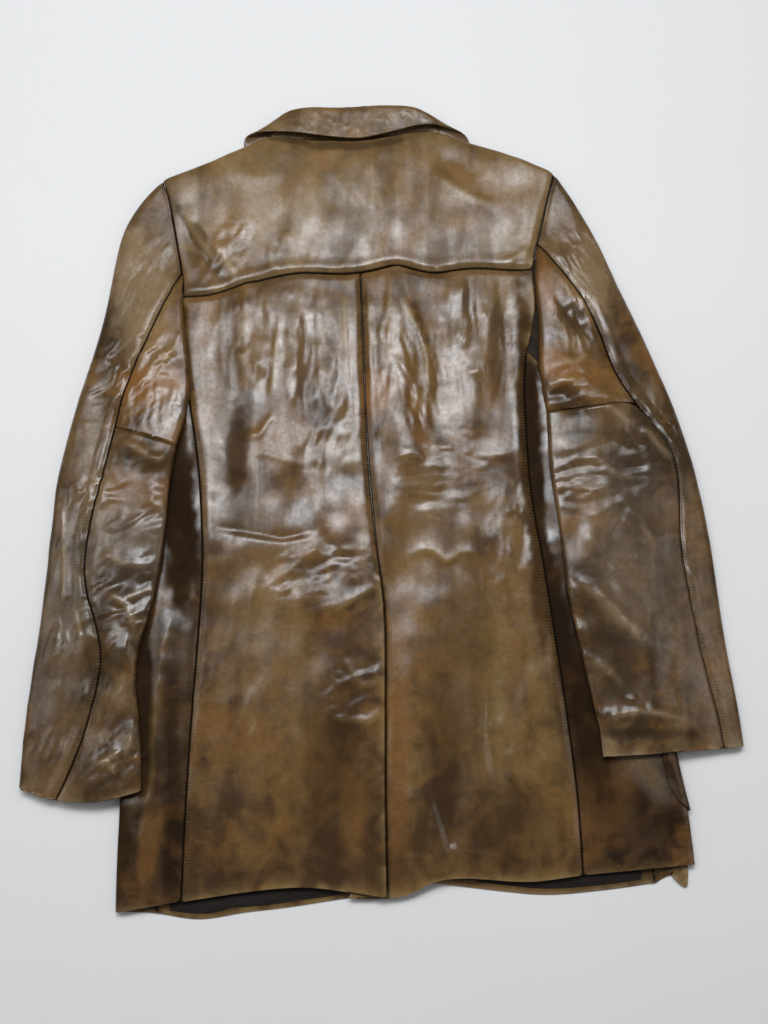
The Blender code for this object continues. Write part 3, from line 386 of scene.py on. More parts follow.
RIGHT_PATCHES: tuple[Patch, ...] = (
    # Most of the dark patches lie in the troughs of the sleeve's folds: painted shade.
    paler((222, 660), (70, 26), 75, 0.6),
    rustier((192, 570), (26, 17), 120, 0.9),
    rustier((181, 659), (43, 9), 95, 0.7),
    darker((210, 626), (26, 14), 120, 0.9),
    darker((196, 534), (28, 15), 150, 0.9),
    greyer((269, 360), (107, 53), 105, 0.45),
    darker((235, 276), (53, 15), 130, 0.5),
    darker((267, 181), (53, 6), 0, 0.8),
    paler((227, 170), (13, 13), 0, 0.6),
    greyer((317, 276), (96, 27), 105, 0.3),
    darker((262, 440), (80, 24), 100, 0.5),
    darker((291, 490), (44, 16), 110, 0.6),
    paler((229, 705), (64, 21), 125, 0.2),
)
COLLAR_FOLDS: tuple[Fold, ...] = (
    crease(3, 0.7, (-91, 876), (-92, 862), (-94, 852)),
    crease(3, 0.7, (-44, 878), (-43, 864), (-42, 850)),
    crease(3, 0.8, (-29, 878), (-28, 864), (-28, 848)),
    crease(3, 0.7, (-19, 878), (-18, 864), (-18, 848)),
    crease(3, 0.7, (-8, 878), (-8, 864), (-7, 850)),
    roll(6.5, -0.8, (20, 876), (34, 868), (50, 862)),
)
COLLAR_CRUMPLES: tuple[Crumple, ...] = (
    Crumple((-28, 866), (24, 90), 90, 9, 22, 0.5, 0.5, 61),
)
COLLAR_PATCHES: tuple[Patch, ...] = (
    # painted shade in the dark gap under the collar's edge
    darker((-103, 845), (26, 6), -10, 0.95),
    darker((-45, 838), (40, 6), 0, 0.95),
    darker((6, 843), (30, 6), 12, 0.95),
    darker((45, 855), (22, 6), 18, 0.95),
    greyer((-30, 864), (40, 10), 0, 0.4),
)
UNDER_PATCHES: tuple[Patch, ...] = (
    # painted shadow on the fronts where they show beneath the back's hem
    darker((262, 46), (40, 9), 8, 0.95),
    darker((180, 38), (90, 9), 5, 0.9),
    darker((-140, 22), (110, 9), 5, 0.9),
)


def soft(share: np.ndarray) -> np.ndarray:
    """A soft step from 0 to 1."""
    share = np.clip(share, 0.0, 1.0)
    return share * share * (3 - 2 * share)


def noise(x: np.ndarray, y: np.ndarray, seed: int) -> np.ndarray:
    """Gradient noise.

    Args:
        x: places across, one cell to a unit.
        y: places up, one cell to a unit.
        seed: which pattern.

    Returns:
        Values from about -1 to 1.
    """
    turns = np.random.default_rng(seed).random((64, 64)) * 2 * np.pi
    i, j = np.floor(x).astype(int), np.floor(y).astype(int)
    f, g = x - i, y - j

    def corner(right: int, up: int) -> np.ndarray:
        """What the cell's corner adds."""
        angle = turns[(i + right) % 64, (j + up) % 64]
        return np.cos(angle) * (f - right) + np.sin(angle) * (g - up)

    u = f**3 * (f * (6 * f - 15) + 10)
    v = g**3 * (g * (6 * g - 15) + 10)
    low = corner(0, 0) * (1 - u) + corner(1, 0) * u
    high = corner(0, 1) * (1 - u) + corner(1, 1) * u
    return 1.5 * (low * (1 - v) + high * v)


def turned(x: np.ndarray, y: np.ndarray, middle: Pair, heading: float) -> tuple[np.ndarray, np.ndarray]:
    """Places as seen along a heading.

    Args:
        x: places in the plan.
        y: places in the plan.
        middle: the point that they are counted from.
        heading: the heading in degrees.

    Returns:
        How far each place is along the heading, and across it.
    """
    angle = math.radians(heading)
    right, up = x - middle[0], y - middle[1]
    return (
        right * math.cos(angle) + up * math.sin(angle),
        up * math.cos(angle) - right * math.sin(angle),
    )


def curve_through(line: tuple[Pair, ...], steps: int = 8) -> np.ndarray:
    """A smooth curve through points.

    Args:
        line: the points.
        steps: how many steps the curve takes from one to the next.

    Returns:
        The curve's points.
    """
    points = np.asarray(line, float)
    ends = np.vstack([2 * points[0] - points[1], points, 2 * points[-1] - points[-2]])
    place = np.linspace(0, len(points) - 1, steps * (len(points) - 1) + 1)
    i = np.minimum(place.astype(int), len(points) - 2)
    f = (place - i)[:, None]
    before, here, there, after = (ends[i + k] for k in range(4))
    bend = (2 * before - 5 * here + 4 * there - after) * f * f
    twist = (3 * here - before - 3 * there + after) * f**3
    return 0.5 * (2 * here + (there - before) * f + bend + twist)


class ReliefMap:
    """The folds, wrinkles, wear and painted shade of one layer of the coat, over the plan."""

    def __init__(
        self,
        folds: tuple[Fold, ...],
        crumples: tuple[Crumple, ...],
        patches: tuple[Patch, ...],
        seed: int,
    ) -> None:
        """Keeps the layer's features.

        Args:
            folds: its single folds.
            crumples: its wrinkled patches.
            patches: its patches of wear and stain, and of painted shade.
            seed: which pattern its general unevenness takes.
        """
        self.folds = folds
        self.crumples = crumples
        self.patches = patches
        self.seed = seed

    def fold(self, fold: Fold, x: np.ndarray, y: np.ndarray) -> tuple[np.ndarray, np.ndarray]:
        """What one fold adds.

        Args:
            fold: the fold.
            x: places in the plan.
            y: places in the plan.

        Returns:
            The height in millimetres, and how worn its crest is from 0 to 1.
        """
        curve = curve_through(fold.line)
        steps = np.linalg.norm(np.diff(curve, axis=0), axis=1)
        starts = np.concatenate([[0.0], np.cumsum(steps)])
        nearest = np.full(x.shape, 1e9)
        signed, share = np.zeros(x.shape), np.zeros(x.shape)
        for k, (a, b) in enumerate(zip(curve[:-1], curve[1:])):
            way = (b - a) / steps[k]
            run = np.clip((x - a[0]) * way[0] + (y - a[1]) * way[1], 0, steps[k])
            off_x, off_y = x - a[0] - run * way[0], y - a[1] - run * way[1]
            distance = np.hypot(off_x, off_y)
            closer = distance < nearest
            nearest = np.where(closer, distance, nearest)
            signed = np.where(closer, way[0] * off_y - way[1] * off_x, signed)
            share = np.where(closer, (starts[k] + run) / starts[-1], share)
        ends = soft(share / FOLD_END) * soft((1 - share) / FOLD_END)
        uneven = 0.8 + 0.35 * noise(starts[-1] * share / FOLD_UNEVEN, np.full(x.shape, fold.reach), 7)
        near = nearest / fold.reach
        if fold.relief is Relief.ROLL:
            profile = np.exp(-near * near)
        elif fold.relief is Relief.CREASE:
            profile = np.exp(-near)
        else:
            profile = np.where(signed > 0, np.exp(-near / 2.2), np.exp(-((near / 0.5) ** 2)))
        sharp = 0.35 if fold.relief is Relief.ROLL else 1.0
        wear = sharp * np.exp(-((nearest / (0.6 * fold.reach)) ** 2)) * ends * soft(fold.height / 2)
        # past a line's end only the roll's own round end is left
        return fold.height * profile * (0.25 + 0.75 * ends) * uneven, wear

    def crumple(self, patch: Crumple, x: np.ndarray, y: np.ndarray) -> tuple[np.ndarray, np.ndarray]:
        """What one wrinkled patch adds.

        Args:
            patch: the patch.
            x: places in the plan.
            y: places in the plan.

        Returns:
            The height in millimetres, and the share of fine crinkles from 0 to 1.
        """
        along, across = turned(x, y, patch.middle, patch.heading)
        reach = np.hypot(along / patch.half[0], across / patch.half[1])
        inside = soft((1.25 - reach) / 0.7)  # fades out towards the patch's edge
        sway = 0.6 * patch.spacing * noise(along / patch.length, across / patch.length, patch.seed + 50)
        a, b = along / patch.length, (across + sway) / patch.spacing
        waves = noise(a, b, patch.seed)
        # narrow crests run where a second pattern is near zero, and a third lets only some of them rise
        crest = np.clip(1 - 2.6 * np.abs(noise(a * 1.3, b * 1.15, patch.seed + 90)), 0, 1) ** 1.5
        gate = soft(0.5 + 0.9 * noise(a * 1.7 + 9, b * 0.5, patch.seed + 30))
        return patch.height * (0.75 * waves + crest * gate) * inside, patch.fine * inside

    def shape(self, x: np.ndarray, y: np.ndarray) -> tuple[np.ndarray, np.ndarray, np.ndarray]:
        """The layer's relief.

        Args:
            x: places in the plan.
            y: places in the plan.

        Returns:
            The height in millimetres, how worn the crests are, and the share of fine crinkles.
        """
        # the whole layer is uneven, broadly and then more finely
        height = 1.2 * noise(x / 61, y / 83, self.seed) + 0.55 * noise(x / 23, y / 31, self.seed + 1)
        wear, fine = np.zeros(x.shape), np.zeros(x.shape)
        for fold in self.folds:
            line = np.asarray(fold.line)
            margin = 7 * fold.reach
            low, high = line.min(0) - margin, line.max(0) + margin
            near = (x > low[0]) & (x < high[0]) & (y > low[1]) & (y < high[1])
            rise, rubbed = self.fold(fold, x[near], y[near])
            height[near] += rise
            wear[near] = np.maximum(wear[near], rubbed)
        for patch in self.crumples:
            rise, crinkled = self.crumple(patch, x, y)
            height += rise
            fine = np.maximum(fine, crinkled)
        return height, wear, fine

    def tint(self, kind: Tint, x: np.ndarray, y: np.ndarray) -> np.ndarray:
        """How strongly one tint shows.

        Args:
            kind: the tint.
            x: places in the plan.
            y: places in the plan.

        Returns:
            Its strength at each place, from 0 to 1.
        """
        total = np.zeros(x.shape)
        for number, patch in enumerate(self.patches):
            if patch.tint is not kind:
                continue
            along, across = turned(x, y, patch.middle, patch.heading)
            ragged = 0.25 * noise(x / 19, y / 26, self.seed + number + 200)
            ragged = ragged + 0.15 * noise(x / 8, y / 9, self.seed + number + 300)
            reach = np.hypot(along / patch.half[0], across / patch.half[1]) + ragged
            total = np.maximum(total, patch.strength * soft((1.4 - reach) / 0.9))
        return total


def merged(node: str) -> bmesh.types.BMesh:
    """A copy of a CAD node's mesh with its loose triangles joined into one skin.

    Args:
        node: the node's name.

    Returns:
        The joined copy.
    """
    bm = bmesh.new()
    bm.from_mesh(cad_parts[node].data)
    bmesh.ops.remove_doubles(bm, verts=bm.verts, dist=MERGE_DISTANCE)
    return bm


def tree_of(nodes: tuple[str, ...]) -> BVHTree:
    """A search tree over the solids of some nodes.

    Args:
        nodes: the nodes' names.

    Returns:
        The tree.
    """
    both = bmesh.new()
    for node in nodes:
        both.from_mesh(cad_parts[node].data)
    tree = BVHTree.FromBMesh(both)
    both.free()
    return tree


def key_tree(points: np.ndarray) -> KDTree:
    """A search tree over points.

    Args:
        points: the points.

    Returns:
        The tree, which numbers them in their order.
    """
    tree = KDTree(len(points))
    for number, point in enumerate(points):
        tree.insert(point, number)
    tree.balance()
    return tree


def mesh_from(bm: bmesh.types.BMesh, name: str, material: bpy.types.Material) -> bpy.types.Mesh:
    """What was modelled as a mesh in one material.

    Args:
        bm: what was modelled, which is given up.
        name: the mesh's name.
        material: its material.

    Returns:
        The mesh.
    """
    mesh = bpy.data.meshes.new(name)
    bm.to_mesh(mesh)
    bm.free()
    mesh.materials.append(material)
    return mesh


def linked(name: str, mesh: bpy.types.Mesh) -> bpy.types.Object:
    """Puts a mesh into the scene.

    Args:
        name: the object's name.
        mesh: the mesh.

    Returns:
        The object.
    """
    piece = bpy.data.objects.new(name, mesh)
    bpy.context.scene.collection.objects.link(piece)
    return piece


def nearest_in(tree: KDTree, points: np.ndarray) -> tuple[np.ndarray, np.ndarray]:
    """The nearest point of a tree to each place: its number, and how far off it is."""
    found = [tree.find(point) for point in points]
    return np.array([hit[1] for hit in found], int), np.array([hit[2] for hit in found])


def values_of(
    items: bpy.types.bpy_prop_collection, name: str, kind: type = float, width: int = 1
) -> np.ndarray:
    """A property of all of a mesh's vertices, edges, faces or corners.

    Args:
        items: what has the property.
        name: the property.
        kind: what its numbers are.
        width: how many numbers each one has.

    Returns:
        The numbers, with a row for each where they are several.
    """
    values = np.empty(len(items) * width, kind)
    items.foreach_get(name, values)
    return values.reshape(-1, width) if width > 1 else values


class Wall:
    """The refined wall of one panel, whose arrays are in millimetres of the part frame."""

    def __init__(self, node: str, levels: int, hub: Vector | None) -> None:
        """Refines a node's wall.

        Args:
            node: the CAD node.
            levels: how often its faces are divided.
            hub: a place inside the coat that its outer skin faces away from, or none to use its middle.
        """
        self.node = node
        self.mesh = self.refine(levels, hub)
        mesh = self.mesh
        self.points = values_of(mesh.vertices, "co", width=3) / MM
        self.edges = values_of(mesh.edges, "vertices", int, 2)
        corners = values_of(mesh.loops, "vertex_index", int)
        sides = values_of(mesh.loops, "edge_index", int)
        totals = values_of(mesh.polygons, "loop_total", int)
        skins = values_of(mesh.polygons, "material_index", int)
        normals = values_of(mesh.polygons, "normal", width=3)
        areas = values_of(mesh.polygons, "area")
        count = len(self.points)
        self.area = float(areas[skins == Skin.OUTER.value].sum())
        face_of = np.repeat(np.arange(len(totals)), totals)
        on_outer = skins[face_of] == Skin.OUTER.value
        self.outer = np.zeros(count, bool)
        self.outer[corners[on_outer]] = True
        cut = np.zeros(count, bool)
        cut[corners[skins[face_of] == Skin.CUT.value]] = True
        self.rim = self.outer & cut
        on_cut = skins[face_of] == Skin.CUT.value
        self.rim_edges = np.intersect1d(sides[on_outer], sides[on_cut])
        self.normals = np.zeros((count, 3))
        np.add.at(self.normals, corners[on_outer], (normals * areas[:, None])[face_of[on_outer]])
        self.normals /= np.linalg.norm(self.normals, axis=1, keepdims=True).clip(1e-12)
        self.outer_ids = np.flatnonzero(self.outer)
        self.rim_ids, self.chain = self.rim_in_order()
        self.round_edges()
        self.lead = self.leads()

    def refine(self, levels: int, hub: Vector | None) -> bpy.types.Mesh:
        """The node's wall with its quads restored, its cut edges kept, and its faces divided.

        Args:
            levels: how often its faces are divided.
            hub: a place that its outer skin faces away from, or none to use its middle.

        Returns:
            A mesh whose faces carry their skin as a material index.
        """
        bm = merged(self.node)
        bmesh.ops.join_triangles(
            bm,
            faces=bm.faces,
            angle_face_threshold=JOIN_ANGLE,
            angle_shape_threshold=JOIN_SHAPE_ANGLE,
        )
        sharpness = bm.edges.layers.float.new("crease_edge")
        for edge in bm.edges:
            edge[sharpness] = 1.0 if edge.calc_face_angle(math.pi) > CUT_EDGE_ANGLE else 0.0
        if hub is None:
            hub = sum((vert.co for vert in bm.verts), Vector()) / len(bm.verts)
        skins = self.skins(bm, sharpness)
        skins.sort(key=lambda faces: sum(face.calc_area() for face in faces), reverse=True)
        main = sorted(skins[:2], key=lambda faces: self.out_share(faces, hub), reverse=True)
        for face in bm.faces:
            face.material_index = Skin.CUT.value
        for skin, faces in zip((Skin.OUTER, Skin.INNER), main):
            for face in faces:
                face.material_index = skin.value
        mesh = bpy.data.meshes.new(f"{self.node}_coarse")
        bm.to_mesh(mesh)
        bm.free()
        coarse = linked(f"{self.node}_coarse", mesh)
        finer = coarse.modifiers.new("finer", "SUBSURF")
        finer.levels = finer.render_levels = levels
        refined = bpy.data.meshes.new_from_object(
            coarse.evaluated_get(bpy.context.evaluated_depsgraph_get())
        )
        bpy.data.objects.remove(coarse)
        LOG.info("%s: %d skins, %d faces", self.node, len(skins), len(refined.polygons))
        return refined

    @staticmethod
    def skins(bm: bmesh.types.BMesh, sharpness: bmesh.types.BMLayerItem) -> list[list[bmesh.types.BMFace]]:
        """Groups of faces that no cut edge divides.

        Args:
            bm: the wall.
            sharpness: the layer that marks its cut edges.

        Returns:
            The faces of each group.
        """
        left = set(bm.faces)
        groups = []
        while left:
            start = left.pop()
            group, front = [start], [start]
            while front:
                face = front.pop()
                for edge in face.edges:
                    if edge[sharpness] > 0.5:
                        continue
                    for other in edge.link_faces:
                        if other in left:
                            left.remove(other)
                            group.append(other)
                            front.append(other)
            groups.append(group)
        return groups

    @staticmethod
    def out_share(faces: list[bmesh.types.BMFace], hub: Vector) -> float:
        """How much a skin faces away from a place."""
        return sum((face.calc_center_median() - hub).dot(face.normal) * face.calc_area() for face in faces)

    def rim_in_order(self) -> tuple[np.ndarray, np.ndarray]:
        """The outer skin's edge as chains of vertices.

        Returns:
            The vertices in order, and the number of each one's chain.
        """
        ways: dict[int, list[int]] = {}
        for a, b in self.edges[self.rim_edges]:
            ways.setdefault(int(a), []).append(int(b))
            ways.setdefault(int(b), []).append(int(a))
        left = set(ways)
        chains = []
        while left:
            chain = [min(left, key=lambda vert: (len(ways[vert]), vert))]
            left.remove(chain[0])
            while onward := [vert for vert in ways[chain[-1]] if vert in left]:
                left.remove(onward[0])
                chain.append(onward[0])
            chains.append(chain)
        numbers = [np.full(len(chain), number) for number, chain in enumerate(chains)]
        return np.concatenate(chains), np.concatenate(numbers)

    def round_edges(self) -> None:
        """Rounds the corners of the cut edge, and keeps the way in from it at each place."""
        rim = self.points[self.rim_ids]
        tangent = np.roll(rim, -1, axis=0) - np.roll(rim, 1, axis=0)
        self.run = np.concatenate([[0.0], np.cumsum(np.linalg.norm(np.diff(rim, axis=0), axis=1))])
        inward = np.cross(self.normals[self.rim_ids], tangent)
        inward /= np.linalg.norm(inward, axis=1, keepdims=True).clip(1e-9)
        inner = self.outer & ~self.rim
        kin = key_tree(self.points[inner])
        towards, _ = nearest_in(kin, rim + PROBE * inward)
        closer = np.linalg.norm(self.points[inner][towards] - rim - PROBE_NEAR * inward, axis=1)
        away, _ = nearest_in(kin, rim - PROBE * inward)
        further = np.linalg.norm(self.points[inner][away] - rim + PROBE_NEAR * inward, axis=1)
        # the way in is the side on which the skin's other points lie
        for number in range(self.chain[-1] + 1):
            here = self.chain == number
            if np.median(closer[here]) > np.median(further[here]):
                inward[here] *= -1
        self.inward = inward
        self.rim_tree = key_tree(rim)
        others = np.flatnonzero(~self.outer)
        place, off = nearest_in(self.rim_tree, self.points[others])
        depth = np.einsum("ij,ij->i", rim[place] - self.points[others], self.normals[self.rim_ids][place])
        down = depth[:, None] * self.normals[self.rim_ids][place]
        side = np.linalg.norm(self.points[others] - rim[place] + down, axis=1)
        on_cut = (side < EDGE_REACH) & (off < 1.3 * LEATHER)
        share = np.clip(depth[on_cut] / LEATHER, 0, 1)
        inset = EDGE_ROUND * (1 - np.sqrt(1 - (2 * share - 1) ** 2))
        self.points[others[on_cut]] += inset[:, None] * inward[place[on_cut]]
        self.points[self.rim_ids] += EDGE_ROUND * inward

    def leads(self) -> np.ndarray:
        """What each vertex moves with.

        Returns:
            The number of a vertex of the outer skin for each vertex.
        """
        lead = np.arange(len(self.points))
        others = np.flatnonzero(~self.outer)
        tree = key_tree(self.points[self.outer_ids])
        near, _ = nearest_in(tree, self.points[others])
        lead[others] = self.outer_ids[near]
        return lead


Value = bpy.types.NodeSocket | float | tuple[float, ...]


class Graph:
    """A node tree with short ways to add nodes and wires."""

    def __init__(self, tree: bpy.types.NodeTree) -> None:
        """Takes the tree that it fills."""
        self.tree = tree

    def add(self, kind: str, sockets: dict | None = None, **settings: object) -> bpy.types.Node:
        """Adds a node.

        Args:
            kind: the node's type.
            sockets: what goes into its inputs, each a value or another node's output.
            settings: the node's own settings.

        Returns:
            The node.
        """
        node = self.tree.nodes.new(kind)
        for name, value in settings.items():
            setattr(node, name, value)
        self.feed(node, sockets or {})
        return node

    def feed(self, node: bpy.types.Node, sockets: dict) -> None:
        """Sets or wires a node's inputs.

        Args:
            node: the node.
            sockets: what goes into its inputs, each a value or another node's output.
        """
        for name, value in sockets.items():
            if isinstance(value, bpy.types.NodeSocket):
                self.tree.links.new(value, node.inputs[name])
            else:
                node.inputs[name].default_value = value

    def math(self, operation: str, first: Value, second: Value = 0.5) -> bpy.types.NodeSocket:
        """One sum on two values."""
        return self.add("ShaderNodeMath", {0: first, 1: second}, operation=operation).outputs[0]

    def times(self, first: Value, second: Value) -> bpy.types.NodeSocket:
        """Two values multiplied."""
        return self.math("MULTIPLY", first, second)

    def plus(self, first: Value, second: Value) -> bpy.types.NodeSocket:
        """Two values added."""
        return self.math("ADD", first, second)

    def mixed(self, share: Value, low: Value, high: Value) -> bpy.types.NodeSocket:
        """A colour between two others, by how much of the second shows."""
        return self.add("ShaderNodeMix", {0: share, 6: low, 7: high}, data_type="RGBA").outputs[2]

    def ramp(
        self, value: Value, low: float, high: float, to_low: float = 0.0, to_high: float = 1.0
    ) -> bpy.types.NodeSocket:
        """A soft step of a value between two of its levels."""
        sockets = {"Value": value, "From Min": low, "From Max": high, "To Min": to_low, "To Max": to_high}
        return self.add("ShaderNodeMapRange", sockets, interpolation_type="SMOOTHSTEP").outputs[0]

    def noise(
        self, vector: Value, scale: float, detail: float = 3.0, twist: float = 0.0
    ) -> bpy.types.NodeSocket:
        """Cloudy noise, about 0 to 1."""
        sockets = {"Vector": vector, "Scale": scale, "Detail": detail, "Distortion": twist}
        return self.add("ShaderNodeTexNoise", sockets).outputs["Fac"]

    def stretched(self, vector: Value, scale: Triple) -> bpy.types.NodeSocket:
        """Coordinates stretched for a pattern that runs one way."""
        return self.add("ShaderNodeMapping", {"Vector": vector, "Scale": scale}).outputs[0]

    def attribute(self, name: str) -> bpy.types.NodeSocket:
        """A value that the piece's mesh carries."""
        return self.add("ShaderNodeAttribute", attribute_name=name).outputs["Fac"]

    def near(self, distance: Value, reach: float) -> bpy.types.NodeSocket:
        """One at no distance, falling towards zero."""
        return self.math("EXPONENT", self.math("DIVIDE", distance, -reach))


LEATHER_COLOURS = ("Base", "Dark", "Pale", "Rust", "Grey")
PLAIN_SPECULAR = 0.25
LEATHER_SHEEN = {"Coat Roughness": 0.2, "Coat IOR": 1.6, "Specular IOR Level": 0.03, "IOR": 1.5}
STAIN_AND_SHADE = (0.006, 0.004, 0.003, 1.0)
# the dark line along seams and along edges that lap another panel: a dark joint with painted shade in the
# groove and under the edge
RIM_SHADE = (0.004, 0.003, 0.002, 1.0)
RIM_REACH = 1.5  # reaches of the dark line of painted shade at a seam, the pucker of a stitch and the scuffs of a hem
PUCKER_REACH = 4.5
SCUFF_REACH = 4.0


def leather_wear_and_shade_group() -> bpy.types.NodeTree:
    """The colour, gloss and surface of old brown leather with its painted shade, made once for all its
    finishes.

    Returns:
        The group, whose inputs are a finish's colours and whose outputs its shader takes.
    """
    tree = bpy.data.node_groups.new("worn leather", "ShaderNodeTree")
    face = tree.interface
    for name in LEATHER_COLOURS:
        face.new_socket(name, in_out="INPUT", socket_type="NodeSocketColor")
    for name in ("Shift", "Roughness", "Gloss"):
        face.new_socket(name, in_out="INPUT", socket_type="NodeSocketFloat")
    face.new_socket("Colour", in_out="OUTPUT", socket_type="NodeSocketColor")
    for name in ("Roughness", "Coat", "Height"):
        face.new_socket(name, in_out="OUTPUT", socket_type="NodeSocketFloat")
    g = Graph(tree)
    given = g.add("NodeGroupInput").outputs
    place = g.add("ShaderNodeTexCoord").outputs["Object"]
    shift = g.add("ShaderNodeCombineXYZ", {0: given["Shift"], 1: given["Shift"], 2: 0.0}).outputs[0]
    place = g.add("ShaderNodeVectorMath", {0: place, 1: shift}, operation="ADD").outputs[0]

    cloud = g.noise(place, 9.0, 5.0, 0.6)
    mottle = g.noise(place, 38.0, 5.0, 0.8)
    speck = g.noise(place, 210.0, 4.0)
    streak = g.noise(g.stretched(place, (1.0, 0.16, 1.0)), 46.0, 4.0, 0.5)
    tone = g.plus(g.times(cloud, 0.45), g.times(mottle, 0.33))
    tone = g.plus(tone, g.times(streak, 0.22))
    wear, fine, rim, hem, run, sewn, stain_and_shade = (
        g.attribute(name) for name in ("wear", "fine", "rim", "hem", "run", "sewn", "dark")
    )

    colour = g.mixed(g.ramp(tone, 0.41, 0.57), given["Dark"], given["Base"])
    colour = g.mixed(g.ramp(tone, 0.54, 0.70, 0.0, 0.55), colour, given["Pale"])
    rusty = g.times(g.ramp(g.noise(place, 17.0, 4.0, 1.0), 0.52, 0.70), 0.45)
    colour = g.mixed(g.math("MAXIMUM", rusty, g.attribute("rust")), colour, given["Rust"])
    colour = g.mixed(g.attribute("grey"), colour, given["Grey"])
    colour = g.mixed(g.attribute("pale"), colour, given["Pale"])
    # the dark attribute darkens for stains and for painted shade: in fold troughs, under the collar's edge
    # and where the fronts show under the hem
    darkest = g.mixed(0.62, given["Dark"], STAIN_AND_SHADE)
    colour = g.mixed(g.times(stain_and_shade, 0.85), colour, darkest)
    colour = g.mixed(g.ramp(speck, 0.35, 0.75, 0.22, 0.0), colour, given["Dark"])

    wobble = g.add("ShaderNodeTexNoise", {"Vector": place, "Scale": 55.0, "Detail": 3.0}).outputs["Color"]
    wobble = g.add("ShaderNodeVectorMath", {0: wobble, "Scale": 0.016}, operation="SCALE").outputs[0]
    swayed = g.add("ShaderNodeVectorMath", {0: place, 1: wobble}, operation="ADD").outputs[0]
    cell = g.add("ShaderNodeTexVoronoi", {"Vector": swayed, "Scale": 130.0}, feature="DISTANCE_TO_EDGE")
    crackle = g.ramp(cell.outputs["Distance"], 0.0, 0.10, 1.0, 0.0)
    small = g.add("ShaderNodeTexVoronoi", {"Vector": swayed, "Scale": 260.0}, feature="DISTANCE_TO_EDGE")
    crinkle = g.ramp(small.outputs["Distance"], 0.0, 0.2, 1.0, 0.0)
    patchy = g.ramp(g.noise(place, 24.0, 3.0), 0.42, 0.62)
    web = g.times(g.times(crackle, patchy), g.plus(fine, 0.06))
    rub = g.times(wear, g.ramp(mottle, 0.3, 0.65, 0.35, 1.0))
    scuff = g.times(g.near(hem, SCUFF_REACH), g.ramp(mottle, 0.35, 0.6, 0.15, 0.8))
    puckers = g.math("SINE", g.times(run, 2 * math.pi / STITCH_PITCH))
    uneven = g.ramp(g.noise(place, 110.0, 2.0), 0.40, 0.62)
    puckers = g.times(g.times(puckers, g.near(sewn, PUCKER_REACH)), uneven)
    raised = g.math("MAXIMUM", puckers, 0.0)
    for share in (g.times(rub, 0.6), g.times(web, 0.12), scuff, g.times(raised, 0.4)):
        colour = g.mixed(share, colour, given["Pale"])
    # painted shade along seams and along edges that lap another panel
    line = g.ramp(g.near(rim, RIM_REACH), 0.25, 0.75)
    colour = g.mixed(line, colour, RIM_SHADE)

    grain = g.add("ShaderNodeTexVoronoi", {"Vector": place, "Scale": 950.0}).outputs["Distance"]
    brushed = g.noise(g.stretched(place, (1.0, 0.4, 1.0)), 420.0, 3.0)
    soft_wrinkles = g.noise(g.stretched(swayed, (1.0, 0.45, 1.0)), 75.0, 3.0, 0.8)
    height = g.times(grain, 0.05)
    for part, share in (
        (speck, 0.55),
        (brushed, 0.22),
        (web, 0.22),
        (g.times(crinkle, fine), 0.14),
        (puckers, 0.45),
        (soft_wrinkles, 0.5),
    ):
        height = g.plus(height, g.times(part, share))

    rough = g.ramp(mottle, 0.3, 0.7, -0.06, 0.09)
    for part in (g.ramp(speck, 0.3, 0.7, -0.04, 0.06), given["Roughness"], g.times(stain_and_shade, 0.28)):
        rough = g.plus(rough, part)
    rough = g.math("SUBTRACT", rough, g.times(rub, 0.10))
    matt = g.times(stain_and_shade, g.math("SUBTRACT", 1.0, fine))
    coat = given["Gloss"]
    for share in (
        g.ramp(matt, 0.1, 0.8, 1.0, 0.0),
        g.ramp(speck, 0.3, 0.7, 0.7, 1.0),
        g.ramp(streak, 0.36, 0.62, 0.5, 1.0),
        g.ramp(g.noise(place, 21.0, 4.0, 0.7), 0.36, 0.58, 0.55, 1.0),
        g.ramp(line, 0.1, 0.7, 1.0, 0.0),
    ):
        coat = g.times(coat, share)
    g.add("NodeGroupOutput", {"Colour": colour, "Roughness": rough, "Coat": coat, "Height": height})
    return tree


@dataclass(frozen=True)
class LeatherFinish:
    """One shade of the coat's leather."""

    name: str
    base: Colour
    dark: Colour
    pale: Colour
    rust: Colour = (0.205, 0.092, 0.024)
    grey: Colour = (0.110, 0.082, 0.058)
    roughness: float = 0.42
    shift: float = 0.0
    gloss: float = 0.8

    def material(self, group: bpy.types.NodeTree) -> bpy.types.Material:
        """The finish as a material.

        Args:
            group: the shared effect of worn leather and its painted shade.

        Returns:
            The material.
        """
        material = bpy.data.materials.new(self.name)
        material.use_nodes = True
        g = Graph(material.node_tree)
        shader = material.node_tree.nodes["Principled BSDF"]
        colours = (self.base, self.dark, self.pale, self.rust, self.grey)
        sockets = {name: (*colour, 1.0) for name, colour in zip(LEATHER_COLOURS, colours)}
        sockets |= {"Shift": self.shift, "Roughness": self.roughness, "Gloss": self.gloss}
        worn = g.add("ShaderNodeGroup", sockets, node_tree=group)
        bump = g.add("ShaderNodeBump", {"Height": worn.outputs["Height"], "Distance": MM})
        looks = {
            "Base Color": worn.outputs["Colour"],
            "Roughness": worn.outputs["Roughness"],
            "Normal": bump.outputs[0],
            "Coat Weight": worn.outputs["Coat"],
        }
        g.feed(shader, looks | LEATHER_SHEEN)
        return material


